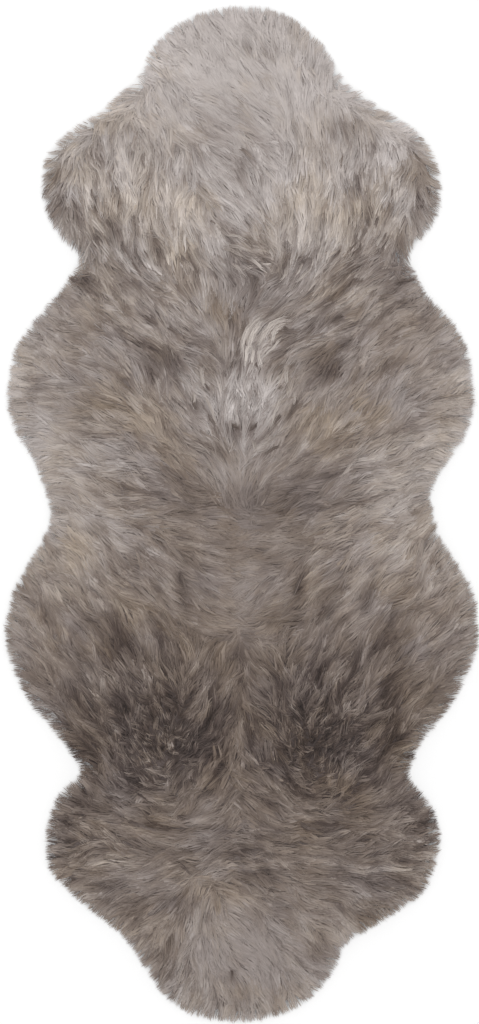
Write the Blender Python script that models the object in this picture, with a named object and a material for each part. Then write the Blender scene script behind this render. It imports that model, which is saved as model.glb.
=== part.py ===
"""A double sheepskin rug: two long-wool pelts sewn rump to rump at the waist.

Metres, +Z up, +Y towards the head of the front pelt. The rug lies flat, wool up.
Each pelt is two pieces. The hide is a thin flat skin with a cut edge. The fleece
stands on it as a lumpy slab of wool, reaches out past the cut edge, comes down to
the floor there, and ends in a rim of loose locks that lie level on the floor.
"""

import math
import random
from collections import namedtuple

import bmesh
import bpy
import numpy as np
from mathutils import Matrix, Vector, noise
from mathutils.geometry import delaunay_2d_cdt

MM = 0.001

# Driving sizes
RUG_HALF_LENGTH = 900 * MM  # tip to tip the wool is 1.8 m long
HIDE_THICKNESS = 2.5 * MM
CLEARANCE = 0.3 * MM  # air between two pieces that touch on the real rug
WOOL_TO_SLAB = 21 * MM  # from the tips of the wool in to where its locks part
WOOL_TO_HIDE = 36 * MM  # from the tips of the wool in to the cut edge of the hide
PILE_HEIGHT = 40 * MM  # crown of the wool over the middle of a pelt
RIM_HEIGHT = 13 * MM  # the wool where it turns down to the floor
SHOULDER = 120 * MM  # width over which the pile climbs from rim to crown
PILE_PITCH = 22 * MM  # spacing of the points that shape the pile
HIDE_PITCH = 24 * MM  # spacing of the points along the cut edge
CUTTER_REACH = 10 * MM  # how far a cutter goes past what it cuts

# Locks of wool at the rim
LOCK_PITCH = 17.2 * MM
LOCK_GAP_SHARE = 0.24  # share of the pitch that is open between two locks
LOCK_UNEVENNESS = 0.3  # share by which their widths differ
LOCK_LENGTH = 22 * MM
LOCK_LENGTHS = (0.62, 1.25)  # shortest and longest, as shares of that
LOCK_TIP_WIDTH = 2.4 * MM
LOCK_TIP_HEIGHT = 3.0 * MM
LOCK_WANDER = math.radians(9)  # most that a lock strays from its neighbours' lie
LOCK_STEPS = (0.5, 1.0)  # where along a lock its sections stand

# The wool's silhouette in millimetres: across the rug at each height along it.
OutlineRow = namedtuple("OutlineRow", "along left right")
HEAD_TIP_ACROSS = 5
TAIL_TIP_ACROSS = -8
SILHOUETTE = [
    OutlineRow(886, -76, 69),  # head lobe of the front pelt
    OutlineRow(859, -128, 113),
    OutlineRow(824, -159, 147),
    OutlineRow(774, -184, 175),
    OutlineRow(748, -214, 204),
    OutlineRow(721, -239, 239),
    OutlineRow(691, -287, 292),  # shoulders
    OutlineRow(647, -337, 333),
    OutlineRow(597, -354, 349),
    OutlineRow(544, -347, 349),
    OutlineRow(500, -328, 326),
    OutlineRow(473, -301, 299),
    OutlineRow(457, -285, 287),  # notch behind the shoulders
    OutlineRow(429, -298, 305),
    OutlineRow(390, -326, 322),
    OutlineRow(344, -367, 367),
    OutlineRow(296, -399, 395),  # flanks and haunches
    OutlineRow(243, -411, 406),
    OutlineRow(195, -415, 407),
    OutlineRow(145, -402, 399),
    OutlineRow(101, -370, 370),
    OutlineRow(57, -354, 340),
    OutlineRow(27, -344, 330),  # waist, where the two rumps meet
    OutlineRow(-18, -338, 340),
    OutlineRow(-58, -361, 358),
    OutlineRow(-108, -390, 392),  # haunches of the back pelt
    OutlineRow(-156, -411, 411),
    OutlineRow(-209, -418, 416),
    OutlineRow(-253, -413, 409),
    OutlineRow(-310, -390, 386),
    OutlineRow(-354, -358, 356),
    OutlineRow(-407, -315, 314),
    OutlineRow(-461, -282, 292),  # its notch
    OutlineRow(-482, -310, 307),
    OutlineRow(-519, -335, 335),  # its shoulders
    OutlineRow(-572, -347, 349),
    OutlineRow(-625, -344, 340),
    OutlineRow(-670, -305, 319),
    OutlineRow(-709, -260, 268),
    OutlineRow(-741, -213, 213),
    OutlineRow(-767, -195, 179),  # its head lobe
    OutlineRow(-803, -170, 161),
    OutlineRow(-838, -149, 138),
    OutlineRow(-868, -117, 106),
    OutlineRow(-889, -78, 67),
]

# How strongly the wool at the rim is combed towards the head, against straight out.
Combing = namedtuple("Combing", "along pull")
COMBINGS = [
    Combing(-900, 0.0),  # its head lobe and shoulders spread straight out
    Combing(-560, 0.0),
    Combing(-430, 0.25),
    Combing(-120, 0.45),  # over the haunches of the back pelt
    Combing(0, 0.3),
    Combing(200, 0.5),  # over the haunches of the front pelt
    Combing(400, 0.2),
    Combing(470, -0.15),
    Combing(600, -0.4),  # its shoulders lie towards the tail
    Combing(740, -0.2),
    Combing(900, 0.0),
]

# Swells and hollows of the pile in millimetres, turned in degrees from +X.
Swell = namedtuple("Swell", "across along half_long half_wide turn rise")
SWELLS = [
    Swell(0, 495, 300, 45, 0, 5),  # the shoulder wool hangs over as a ledge
    Swell(-252, 418, 95, 26, 10, -8),  # and leaves a hollow under it
    Swell(253, 416, 95, 26, -10, -8),
    Swell(-4, 399, 110, 24, 0, -6),
    Swell(-7, 207, 60, 85, 0, 8),  # pale patch on the rump
    Swell(35, 287, 62, 20, 48, 6),  # the lock that curls over it
    Swell(-4, 108, 60, 18, 0, -7),
    Swell(-4, 20, 120, 26, 0, -5),  # waist
    Swell(-225, 198, 120, 95, 0, 4),  # haunches
    Swell(218, 198, 120, 95, 0, 4),
    Swell(-243, -191, 120, 95, 0, 4),
    Swell(236, -191, 120, 95, 0, 4),
    Swell(-4, -330, 28, 120, 0, -5),  # back of the lower pelt
    Swell(-124, -407, 46, 46, 0, -9),  # dark whorls of curled wool
    Swell(117, -407, 46, 46, 0, -9),
    Swell(-151, -556, 38, 22, 20, -7),  # partings on its shoulders
    Swell(138, -563, 38, 22, -20, -7),
    Swell(-250, -600, 85, 45, 0, 4),
    Swell(253, -600, 85, 45, 0, 4),
    Swell(2, -776, 100, 70, 0, 4),  # tail of the rug
]
TUFT_WIDTH = 50 * MM  # the pile breaks into tufts of about this size
TUFT_LENGTH = 88 * MM
TUFT_RISE = 12 * MM
TUFT_DRIFT = 190 * MM  # how far across the rug one pattern of tufts lasts
RIPPLE_SIZE = 40 * MM
RIPPLE_RISE = 2.5 * MM

SUEDE = {"colour": (0.56, 0.41, 0.28), "roughness": 0.9}
WOOL = {"colour": (0.24, 0.20, 0.18), "roughness": 0.95}


def clear_scene():
    for obj in list(bpy.data.objects):
        bpy.data.objects.remove(obj, do_unlink=True)


def make_material(name, colour, roughness):
    material = bpy.data.materials.new(name)
    material.use_nodes = True
    shader = material.node_tree.nodes["Principled BSDF"]
    shader.inputs["Base Color"].default_value = (*colour, 1.0)
    shader.inputs["Roughness"].default_value = roughness
    shader.inputs["Metallic"].default_value = 0.0
    return material


def make_object(name, bm, material):
    """Puts the bmesh into the scene as an object with this material."""
    mesh = bpy.data.meshes.new(name)
    bm.to_mesh(mesh)
    bm.free()
    if material:
        mesh.materials.append(material)
    obj = bpy.data.objects.new(name, mesh)
    bpy.context.scene.collection.objects.link(obj)
    return obj


# Curves in the plane of the floor, as arrays of points


def silhouette_points():
    """The silhouette's own points, anticlockwise from the head."""
    left = [(row.left * MM, row.along * MM) for row in SILHOUETTE]
    right = [(row.right * MM, row.along * MM) for row in reversed(SILHOUETTE)]
    head = (HEAD_TIP_ACROSS * MM, RUG_HALF_LENGTH)
    tail = (TAIL_TIP_ACROSS * MM, -RUG_HALF_LENGTH)
    return np.array([head, *left, tail, *right])


def arc_lengths(points):
    steps = np.linalg.norm(np.diff(points, axis=0), axis=1)
    return np.concatenate([[0.0], np.cumsum(steps)])


def read_at(points, lengths, wanted):
    """The places along a run of points at these distances from its start."""
    across = np.interp(wanted, lengths, points[:, 0])
    along = np.interp(wanted, lengths, points[:, 1])
    return np.column_stack([across, along])


def respaced(ring, pitch):
    """A closed ring read at even steps of about this pitch."""
    closed = np.vstack([ring, ring[:1]])
    lengths = arc_lengths(closed)
    count = int(round(lengths[-1] / pitch))
    return read_at(closed, lengths, np.arange(count) * lengths[-1] / count)


def rounded_ring(points, pitch):
    """A smooth closed curve through the points, by cubic spans between them."""
    before, after = np.roll(points, 1, axis=0), np.roll(points, -1, axis=0)
    beyond = np.roll(points, -2, axis=0)
    spans = []
    for step in np.linspace(0, 1, 8, endpoint=False):
        spans.append(
            0.5
            * (
                2 * points
                + (after - before) * step
                + (2 * before - 5 * points + 4 * after - beyond) * step**2
                + (3 * points - 3 * after + beyond - before) * step**3
            )
        )
    return respaced(np.stack(spans, axis=1).reshape(-1, 2), pitch)


def outward(ring, reach):
    """Unit normals of an anticlockwise ring, each averaged over some neighbours."""
    along = np.roll(ring, -reach, axis=0) - np.roll(ring, reach, axis=0)
    along /= np.linalg.norm(along, axis=1, keepdims=True)
    return np.column_stack([along[:, 1], -along[:, 0]])


def gap_to(ring, points):
    """Distance from each point to the nearest point of the ring."""
    away = points[:, None, :] - ring[None, :, :]
    return np.linalg.norm(away, axis=2).min(axis=1)


def inset(ring, depth, pitch):
    """The ring moved in by this depth, without the loops that tight bends leave."""
    moved = ring - outward(ring, 3) * depth
    clear = gap_to(ring, moved) > 0.97 * depth
    return respaced(moved[clear], pitch)


def half_of(ring, side, past_seam=0.0):
    """The run of a ring on one side of the waist seam, its ends on the seam.

    side is +1 for the front pelt and -1 for the back one. The run keeps the
    ring's anticlockwise order, so the front one goes from right to left. The
    ends can be drawn on past the seam.
    """
    inside = ring[:, 1] * side > 1 * MM
    first = int(np.flatnonzero(inside & ~np.roll(inside, 1))[0])
    run = np.roll(ring, -first, axis=0)[: int(inside.sum())]
    seam = side * (CLEARANCE / 2 - past_seam)
    return np.vstack([(run[0][0], seam), run, (run[-1][0], seam)])


# The hide


def cut_edge(silhouette):
    """The ring of both hides together, as they are cut."""
    return inset(silhouette, WOOL_TO_HIDE, HIDE_PITCH)


def flat_plate(run, low, high):
    """A bmesh plate with this outline between two heights."""
    bm = bmesh.new()
    corners = [bm.verts.new((x, y, low)) for x, y in run]
    face = bm.faces.new(corners)
    grown = bmesh.ops.extrude_face_region(bm, geom=[face])
    top = [item for item in grown["geom"] if isinstance(item, bmesh.types.BMVert)]
    bmesh.ops.translate(bm, verts=top, vec=(0, 0, high - low))
    bmesh.ops.recalc_face_normals(bm, faces=bm.faces)
    return bm


def make_hide(name, side, silhouette, material):
    run = half_of(cut_edge(silhouette), side)
    return make_object(name, flat_plate(run, 0.0, HIDE_THICKNESS), material)


def hide_recess(name, side, silhouette):
    """The space that the hide takes under the fleece, open at the waist seam."""
    ring = cut_edge(silhouette)
    run = half_of(ring + outward(ring, 1) * CLEARANCE, side, CUTTER_REACH)
    plate = flat_plate(run, -CUTTER_REACH, HIDE_THICKNESS + CLEARANCE)
    cutter = make_object(name, plate, None)
    cutter.hide_render = True
    cutter.display_type = "WIRE"
    return cutter


# The fleece


def swell_at(spot, swell):
    """Height that one swell adds at a spot: full at its centre, none past its edge."""
    turn = math.radians(swell.turn)
    across = spot[0] - swell.across * MM
    along = spot[1] - swell.along * MM
    long_way = (across * math.cos(turn) + along * math.sin(turn)) / swell.half_long
    wide_way = (along * math.cos(turn) - across * math.sin(turn)) / swell.half_wide
    return swell.rise * MM * math.exp(-((long_way**2 + wide_way**2) / MM**2))


def tuft_at(spot):
    """Long tufts that fan out and up from the line of the back, with creases
    between them, and a finer ripple."""
    across, along = spot
    lengthwise = (along + abs(across)) * math.sqrt(0.5) / TUFT_LENGTH
    crosswise = (along - abs(across)) * math.sqrt(0.5) / TUFT_WIDTH
    cell = Vector((crosswise, lengthwise, across / TUFT_DRIFT))
    nearest = noise.voronoi(cell)[0]
    crown = min(1.0, 1.6 * (nearest[1] - nearest[0]))
    ripple = noise.noise(Vector((across, along, 0)) / RIPPLE_SIZE)
    return TUFT_RISE * (crown - 0.5) + RIPPLE_RISE * ripple


def pile_heights(spots, rim):
    """Height of the wool over the floor at each spot inside the rim."""
    climb = np.clip(gap_to(rim, spots) / SHOULDER, 0, 1)
    profile = np.sqrt(1 - (1 - climb) ** 2)
    base = RIM_HEIGHT + (PILE_HEIGHT - RIM_HEIGHT) * profile
    relief = [tuft_at(spot) + sum(swell_at(spot, s) for s in SWELLS) for spot in spots]
    return base + np.array(relief) * np.clip(4 * climb, 0, 1)


def lock_cells(length, dice):
    """Uneven cells along the rim, each an open gap and then the root of a lock."""
    count = int(length / LOCK_PITCH)
    widths = np.array([1 + dice.uniform(-1, 1) * LOCK_UNEVENNESS for _ in range(count)])
    ends = np.cumsum(widths) / (widths.sum() + LOCK_GAP_SHARE) * length
    starts = np.concatenate([[0.0], ends[:-1]])
    starts = starts + (ends - starts) * LOCK_GAP_SHARE
    return np.column_stack([starts, ends])


def points_inside(run, pitch, dice):
    """Staggered points over the area of a closed run, clear of its edge."""
    low, high = run.min(axis=0), run.max(axis=0)
    rise = pitch * math.sqrt(0.75)
    rows = int((high[1] - low[1]) / rise) + 1
    columns = int((high[0] - low[0]) / pitch) + 2
    grid = [
        (
            low[0] + (column + 0.5 * (row % 2) + dice.uniform(-0.2, 0.2)) * pitch,
            low[1] + (row + dice.uniform(-0.2, 0.2)) * rise,
        )
        for row in range(rows)
        for column in range(columns)
    ]
    grid = np.array(grid)
    ahead = np.roll(run, -1, axis=0)
    crossings = np.zeros(len(grid), int)
    for (x0, y0), (x1, y1) in zip(run, ahead):
        spans = (y0 > grid[:, 1]) != (y1 > grid[:, 1])
        if spans.any():
            meets = x0 + (grid[:, 1] - y0) * (x1 - x0) / (y1 - y0 or 1)
            crossings += spans & (grid[:, 0] < meets)
    grid = grid[crossings % 2 == 1]
    closed = np.vstack([run, run[:1]])
    lengths = arc_lengths(closed)
    edge = read_at(closed, lengths, np.arange(0, lengths[-1], 4 * MM))
    return grid[gap_to(edge, grid) > 0.55 * pitch]


def pile_surface(bm, run, rim, dice):
    """The top of the pile as triangles, and its vertices in the run's own order."""
    spots = np.vstack([run, points_inside(run, PILE_PITCH, dice)])
    border = list(range(len(run)))
    made = delaunay_2d_cdt([Vector(spot) for spot in spots], [], [border], 1, 1e-6)
    flat, faces, sources = made[0], made[2], made[3]
    heights = pile_heights(np.array([tuple(spot) for spot in flat]), rim)
    verts = [bm.verts.new((*spot, height)) for spot, height in zip(flat, heights)]
    for face in faces:
        bm.faces.new([verts[index] for index in face])
    by_source = {old: vert for vert, olds in zip(verts, sources) for old in olds}
    return [by_source[index] for index in border]


def drop_to_floor(bm, border):
    """Walls from the border of the pile down to the floor, closed underneath."""
    edges = [edge for edge in bm.edges if edge.is_boundary]
    grown = bmesh.ops.extrude_edge_only(bm, edges=edges)["geom"]
    for item in grown:
        if isinstance(item, bmesh.types.BMVert):
            item.co.z = 0.0
    hem = [edge for edge in bm.edges if edge.is_boundary]
    bmesh.ops.triangle_fill(bm, edges=hem, use_beauty=True)
    bmesh.ops.recalc_face_normals(bm, faces=bm.faces)
    walls = {}
    for face in bm.faces:
        if len(face.verts) == 4:
            walls[frozenset(v for v in face.verts if v.co.z > 0)] = face
    return [walls[frozenset(pair)] for pair in zip(border, border[1:])]


def lock_heading(spot, straight_out, dice):
    """Which way a lock at the rim lies: outward, combed, and a little astray."""
    pulls = sorted(COMBINGS)
    places = [row.along * MM for row in pulls]
    pull = np.interp(spot[1], places, [row.pull for row in pulls])
    heading = Vector((straight_out[0], straight_out[1] + pull, 0)).normalized()
    heading.rotate(Matrix.Rotation(dice.uniform(-1, 1) * LOCK_WANDER, 3, "Z"))
    return heading


def grow_lock(bm, wall, heading, length, curl):
    """Draws one lock out of its wall, tapering, with its underside on the floor."""
    low = [vert.co.copy() for vert in wall.verts if vert.co.z == 0]
    height = max(vert.co.z for vert in wall.verts)
    width = (low[1] - low[0]).length
    across = (low[1] - low[0]).normalized()
    spot = (low[0] + low[1]) / 2
    face = wall
    done = 0.0
    for step in LOCK_STEPS:
        face = bmesh.ops.extrude_discrete_faces(bm, faces=[face])["faces"][0]
        corners = [
            (vert, math.copysign(0.5, (vert.co - spot).dot(across)), vert.co.z > 0)
            for vert in face.verts
        ]
        turn = Matrix.Rotation(curl * (step - done), 3, "Z")
        heading = turn @ heading
        across = turn @ across
        spot = spot + heading * length * (step - done)
        drawn_in = step**0.8
        broad = width + (LOCK_TIP_WIDTH - width) * drawn_in
        level = height + (LOCK_TIP_HEIGHT - height) * drawn_in
        for vert, half, is_top in corners:
            vert.co = spot + across * half * broad
            vert.co.z = level if is_top else 0.0
        done = step


def make_fleece(name, side, silhouette, material, seed):
    dice = random.Random(seed)
    rim = inset(silhouette, WOOL_TO_SLAB, 5 * MM)
    run = half_of(rim, side)
    headings = outward(rim, 9)
    lengths = arc_lengths(run)
    cells = lock_cells(lengths[-1], dice)
    stations = np.concatenate([[0.0], cells.reshape(-1), [lengths[-1]]])
    border = read_at(run, lengths, stations)
    seam_steps = int(np.linalg.norm(border[-1] - border[0]) / PILE_PITCH)
    seam = np.linspace(border[-1], border[0], seam_steps + 1)[1:-1]
    bm = bmesh.new()
    corners = pile_surface(bm, np.vstack([border, seam]), rim, dice)
    walls = drop_to_floor(bm, corners[: len(border)])
    for index, cell in enumerate(cells):
        middle = read_at(run, lengths, [cell.mean()])[0]
        nearest = int(np.linalg.norm(rim - middle, axis=1).argmin())
        heading = lock_heading(middle, headings[nearest], dice)
        length = LOCK_LENGTH * dice.uniform(*LOCK_LENGTHS)
        curl = dice.uniform(-1, 1) * LOCK_WANDER
        grow_lock(bm, walls[2 * index + 1], heading, length, curl)
    bmesh.ops.recalc_face_normals(bm, faces=bm.faces)
    fleece = make_object(name, bm, material)
    fleece.data.shade_smooth()
    fleece.data.set_sharp_from_angle(angle=math.radians(60))
    cut = fleece.modifiers.new("hide_recess", "BOOLEAN")
    cut.operation = "DIFFERENCE"
    cut.object = hide_recess(name + "_recess", side, silhouette)
    return fleece


def centre_on_floor(objects):
    """Moves all pieces together so that the rug's box stands over the origin."""
    corners = [
        Vector((vert.co.x, vert.co.y))
        for obj in objects
        for vert in obj.data.vertices
        if not obj.hide_render
    ]
    middle_x = (max(c.x for c in corners) + min(c.x for c in corners)) / 2
    middle_y = (max(c.y for c in corners) + min(c.y for c in corners)) / 2
    for obj in objects:
        obj.data.transform(Matrix.Translation((-middle_x, -middle_y, 0)))


def main():
    clear_scene()
    suede = make_material("suede", **SUEDE)
    wool = make_material("wool", **WOOL)
    silhouette = rounded_ring(silhouette_points(), 5 * MM)
    for name, side, seed in (("front", 1, 11), ("back", -1, 23)):
        make_hide("hide_" + name, side, silhouette, suede)
        make_fleece("fleece_" + name, side, silhouette, wool, seed)
    centre_on_floor(list(bpy.data.objects))


main()
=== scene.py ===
# %% [markdown]
# # A double sheepskin rug
#
# The rug is two long-wool sheepskins sewn rump to rump. Under it lies tanned hide, and out
# of the hide grows wool that has been washed, dyed a warm grey and combed flat. The packed
# model gives the true size: two thin hides and two lumpy slabs of wool. This lesson turns
# the slabs into wool, lock by lock, and the plates into suede with a sewn seam.

import math
import random
from collections import namedtuple

import bmesh
import bpy
import numpy as np
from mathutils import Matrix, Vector, noise
from mathutils.bvhtree import BVHTree
from mathutils.kdtree import KDTree


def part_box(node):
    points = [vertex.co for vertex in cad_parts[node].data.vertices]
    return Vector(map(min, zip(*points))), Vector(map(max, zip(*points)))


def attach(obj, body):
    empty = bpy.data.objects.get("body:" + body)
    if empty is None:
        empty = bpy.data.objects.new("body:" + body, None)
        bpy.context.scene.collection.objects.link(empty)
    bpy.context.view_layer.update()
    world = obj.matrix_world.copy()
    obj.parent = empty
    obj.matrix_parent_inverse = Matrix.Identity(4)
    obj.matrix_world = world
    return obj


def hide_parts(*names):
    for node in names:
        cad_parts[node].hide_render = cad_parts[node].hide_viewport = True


MM = 0.001
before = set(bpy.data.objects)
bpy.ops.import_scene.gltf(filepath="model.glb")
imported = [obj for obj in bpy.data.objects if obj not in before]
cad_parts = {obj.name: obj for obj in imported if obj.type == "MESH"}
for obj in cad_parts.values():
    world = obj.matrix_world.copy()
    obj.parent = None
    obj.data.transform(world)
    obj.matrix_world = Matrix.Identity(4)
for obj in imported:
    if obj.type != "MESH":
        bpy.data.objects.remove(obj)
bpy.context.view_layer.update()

# %% [markdown]
# ## Reading places off the photograph
#
# The rug was photographed from straight above. One picture point spans 1.77 mm when the rug
# is 1.8 m long, so any place seen in the picture can be given in picture points and turned
# into metres by one small function.

# %% Picture points to metres
MM_PER_POINT = 1.7717
PHOTO_HIGH = 1024  # picture points
PHOTO_MIDDLE_X = 239.5
RUG_MIDDLE = (242.0, 512.0)  # picture point over the middle of the rug
PAIR = True  # ends the row of a place that comes with its mirror image


def from_photo(x, y):
    """Metres across and along the rug for a picture point."""
    across = (np.asarray(x, float) - RUG_MIDDLE[0]) * MM_PER_POINT * MM
    along = (RUG_MIDDLE[1] - np.asarray(y, float)) * MM_PER_POINT * MM
    return across, along


def as_records(kind, rows):
    """The rows of a table as records, so that each number in them has a name."""
    return [kind(*row) for row in rows]


# %% [markdown]
# ## Small helpers
#
# Some steps come back for every piece, so each gets a function: a finished bmesh becomes a
# mesh, a mesh becomes an object at the origin, and a material starts from its shader.
# Colours are written as on a colour card, in sRGB, and turned into linear light here.

# %% Helpers for meshes and materials
def mesh_of(bm, name):
    mesh = bpy.data.meshes.new(name)
    bm.to_mesh(mesh)
    bm.free()
    return mesh


def put_in_scene(name, data):
    item = bpy.data.objects.new(name, data)
    bpy.context.collection.objects.link(item)
    return item


def new_material(name):
    material = bpy.data.materials.new(name)
    material.use_nodes = True
    return material, material.node_tree.nodes["Principled BSDF"]


def hex_colour(code):
    """An sRGB hex colour as linear red, green, blue and alpha."""
    shares = [int(code[i : i + 2], 16) / 255 for i in (1, 3, 5)]
    linear = [s / 12.92 if s <= 0.04045 else ((s + 0.055) / 1.055) ** 2.4 for s in shares]
    return (*linear, 1.0)


def add_node(material, kind, links=None, **settings):
    """Adds a shader node. A link's value is the output that feeds that input."""
    tree = material.node_tree
    node = tree.nodes.new(kind)
    for key, value in settings.items():
        setattr(node, key, value)
    for socket, source in (links or {}).items():
        if isinstance(source, bpy.types.NodeSocket):
            tree.links.new(source, node.inputs[socket])
        else:
            node.inputs[socket].default_value = source
    return node


print("light grey in linear light:", [round(part, 3) for part in hex_colour("#cccccc")])

# %% [markdown]
# ## Camera
#
# A long lens high above the rug keeps its outline free of perspective, as in the photograph.
# It stands where the picture's height just takes in the rug.

# %% Camera
LENS_MM = 100
HALF_SENSOR_MM = 18
RIM_LEVEL = 8 * MM  # the outline that the lens sees is about this high


def place_camera():
    data = bpy.data.cameras.new("above")
    data.lens = LENS_MM
    half_view = PHOTO_HIGH * MM_PER_POINT * MM / 2
    across = from_photo(PHOTO_MIDDLE_X, RUG_MIDDLE[1])[0]
    camera = put_in_scene("above", data)
    camera.location = (across, 0, half_view * LENS_MM / HALF_SENSOR_MM + RIM_LEVEL)
    bpy.context.scene.camera = camera
    return camera


camera = place_camera()
print("camera height:", round(camera.location.z, 3), "m")

# %% [markdown]
# ## Light and floor
#
# The light is that of a white studio: an even white surround, and one broad soft lamp
# beyond the head of the rug that gives the locks a lit side. The floor is plain and pale,
# and the rug lies on it.

# %% Light and floor
SURROUND = 1.1
LAMP_WATTS = 12
LAMP_SIZE = 2.4  # metres
LAMP_PLACE = (-0.7, 2.2, 2.6)
FLOOR_HALF_SIDE = 6.0  # metres
FLOOR_SUNK = 0.2 * MM  # so that the floor and the hides don't share one plane


def light_the_room():
    world = bpy.data.worlds.new("white_room")
    world.use_nodes = True
    surround = world.node_tree.nodes["Background"]
    surround.inputs["Color"].default_value = (1, 1, 1, 1)
    surround.inputs["Strength"].default_value = SURROUND
    bpy.context.scene.world = world
    data = bpy.data.lights.new("soft_lamp", "AREA")
    data.shape = "SQUARE"
    data.size = LAMP_SIZE
    data.energy = LAMP_WATTS
    lamp = put_in_scene("soft_lamp", data)
    lamp.location = LAMP_PLACE
    lamp.rotation_euler = (-Vector(LAMP_PLACE)).to_track_quat("-Z", "Y").to_euler()
    bpy.context.scene.view_settings.view_transform = "Standard"


def lay_floor():
    bm = bmesh.new()
    bmesh.ops.create_grid(bm, x_segments=1, y_segments=1, size=FLOOR_HALF_SIDE)
    bmesh.ops.translate(bm, verts=bm.verts, vec=(0, 0, -FLOOR_SUNK))
    floor = put_in_scene("floor", mesh_of(bm, "floor"))
    paint, shader = new_material("white_painted_floor")
    shader.inputs["Base Color"].default_value = hex_colour("#f4f4f4")
    shader.inputs["Roughness"].default_value = 0.9
    floor.data.materials.append(paint)


light_the_room()
lay_floor()
print("a lamp of", LAMP_WATTS, "W over a floor", 2 * FLOOR_HALF_SIDE, "m wide")

# %% [markdown]
# ## Maps of the rug
#
# Every lock has to know how high the wool stands under it, how near the rim is, which way
# the wool is combed there, and how light or dark it is. Each of these is a map: one value
# for each point of a fine grid over the rug. A map is read at any place by blending its
# nearest four points, and softened by letting neighbours share their values.

# %% The grid and its helpers
STEP = 4 * MM
HALF_GRID = (0.48, 0.96)  # metres from the rug's middle
LAST_KEPT = 1.001  # grid lines: every place that is read has a next line after it
grid_x = np.arange(-HALF_GRID[0], HALF_GRID[0] + STEP / 2, STEP)
grid_y = np.arange(-HALF_GRID[1], HALF_GRID[1] + STEP / 2, STEP)
cell_x, cell_y = np.meshgrid(grid_x, grid_y)


def blur(values, times):
    """Each value shared with its neighbours, some times over."""
    for _ in range(times):
        for axis in (0, 1):
            beside = np.roll(values, 1, axis) + np.roll(values, -1, axis)
            values = (2 * values + beside) / 4
    return values


def look_up(values, x, y):
    """Reads a map at any places, blending between its grid points."""
    column = np.clip((x - grid_x[0]) / STEP, 0, len(grid_x) - LAST_KEPT)
    row = np.clip((y - grid_y[0]) / STEP, 0, len(grid_y) - LAST_KEPT)
    left, low = column.astype(int), row.astype(int)
    share_x, share_y = column - left, row - low
    below = values[low, left] * (1 - share_x) + values[low, left + 1] * share_x
    above = values[low + 1, left] * (1 - share_x) + values[low + 1, left + 1] * share_x
    return below * (1 - share_y) + above * share_y


print("maps of", grid_x.size, "by", grid_y.size, "points")

# %% [markdown]
# ## Height of the wool, and the way to the rim
#
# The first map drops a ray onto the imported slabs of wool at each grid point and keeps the
# height where it lands. The second says how far inside the rim a place is, and from its
# slope follows the way out. Past the slab's rim the loose wool falls to the floor, so there
# the height is worked out from the distance.

# %% Height of the wool, and the way to the rim
FLEECES = ("fleece_front", "fleece_back")
RAYS_START = 1.0  # metres above the floor
RIM_HEIGHT = 12.2 * MM  # the slab is this high where its rim locks part
WOOL_PAST_RIM = 21 * MM  # the photograph's outline lies this far outside that rim
FALL_WIDTH = 1.2 * WOOL_PAST_RIM
LOWEST_SHARE = 0.12  # of the rim's height, at the end of the fall
SLAB_FROM = 2 * MM  # from here in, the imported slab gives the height
SLIGHT = 1e-6  # keeps a division away from zero, or a share just under one
SEAM_Y = (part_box("hide_front")[0][1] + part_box("hide_back")[1][1]) / 2  # where the pelts meet


def drop_rays():
    """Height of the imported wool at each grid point, or 0 where there is none."""
    graph = bpy.context.evaluated_depsgraph_get()
    heights = np.zeros(cell_x.shape)
    for name in FLEECES:
        slab = BVHTree.FromObject(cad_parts[name], graph)
        low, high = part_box(name)
        near = (cell_y > low[1] - STEP) & (cell_y < high[1] + STEP)
        for row, column in zip(*np.nonzero(near)):
            place = (cell_x[row, column], cell_y[row, column], RAYS_START)
            hit = slab.ray_cast(place, (0, 0, -1))[0]
            if hit:
                heights[row, column] = max(heights[row, column], hit.z)
    return heights


def rim_distance(heights):
    """How far inside the slab's rim each grid point is; outside it is negative."""
    filled = heights.copy()
    gap = (heights < RIM_HEIGHT) & (np.abs(cell_y - SEAM_Y) < 2 * STEP)
    beside = np.maximum(np.roll(heights, 2, 0), np.roll(heights, -2, 0))
    filled[gap] = beside[gap]
    inside = blur((filled > RIM_HEIGHT).astype(float), 3) > 0.5
    edge = inside & ~(
        np.roll(inside, 1, 0) & np.roll(inside, -1, 0)
        & np.roll(inside, 1, 1) & np.roll(inside, -1, 1)
    )
    tree = KDTree(int(edge.sum()))
    for index, (x, y) in enumerate(zip(cell_x[edge], cell_y[edge])):
        tree.insert((x, y, 0), index)
    tree.balance()
    spots = zip(cell_x.ravel(), cell_y.ravel())
    away = np.array([tree.find((x, y, 0))[2] for x, y in spots]).reshape(cell_x.shape)
    return blur(np.where(inside, away, -away), 4)


packed_height = drop_rays()
inside_by = rim_distance(packed_height)
slope_y, slope_x = np.gradient(inside_by, STEP)
steepness = np.hypot(slope_x, slope_y) + SLIGHT
outward_x, outward_y = -slope_x / steepness, -slope_y / steepness
falling = RIM_HEIGHT * np.clip(1 + inside_by / FALL_WIDTH, LOWEST_SHARE, 1)
wool_height = np.where(inside_by > SLAB_FROM, np.maximum(packed_height, RIM_HEIGHT), falling)
wool_height = blur(wool_height, 2)
print("wool stands up to", round(float(wool_height.max()) / MM, 1), "mm high")

# %% [markdown]
# ## The lie of the wool
#
# A maker combs the wool, and the lie shows in every lock. The table holds the strokes seen
# in the photograph: where each is, and which way the tips of the wool point there, in
# degrees anticlockwise from the right. Most strokes come in pairs, mirrored over the line
# of the back, which isn't quite straight. Between strokes the lie is their blend, weighted
# by how near each one is. The line that the wool lies along is blended first and its
# sense second, so that wool combed apart on a parting still lies along one line. Combed
# wool springs back a little in waves, so soft noise turns the lie to and fro.

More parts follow.
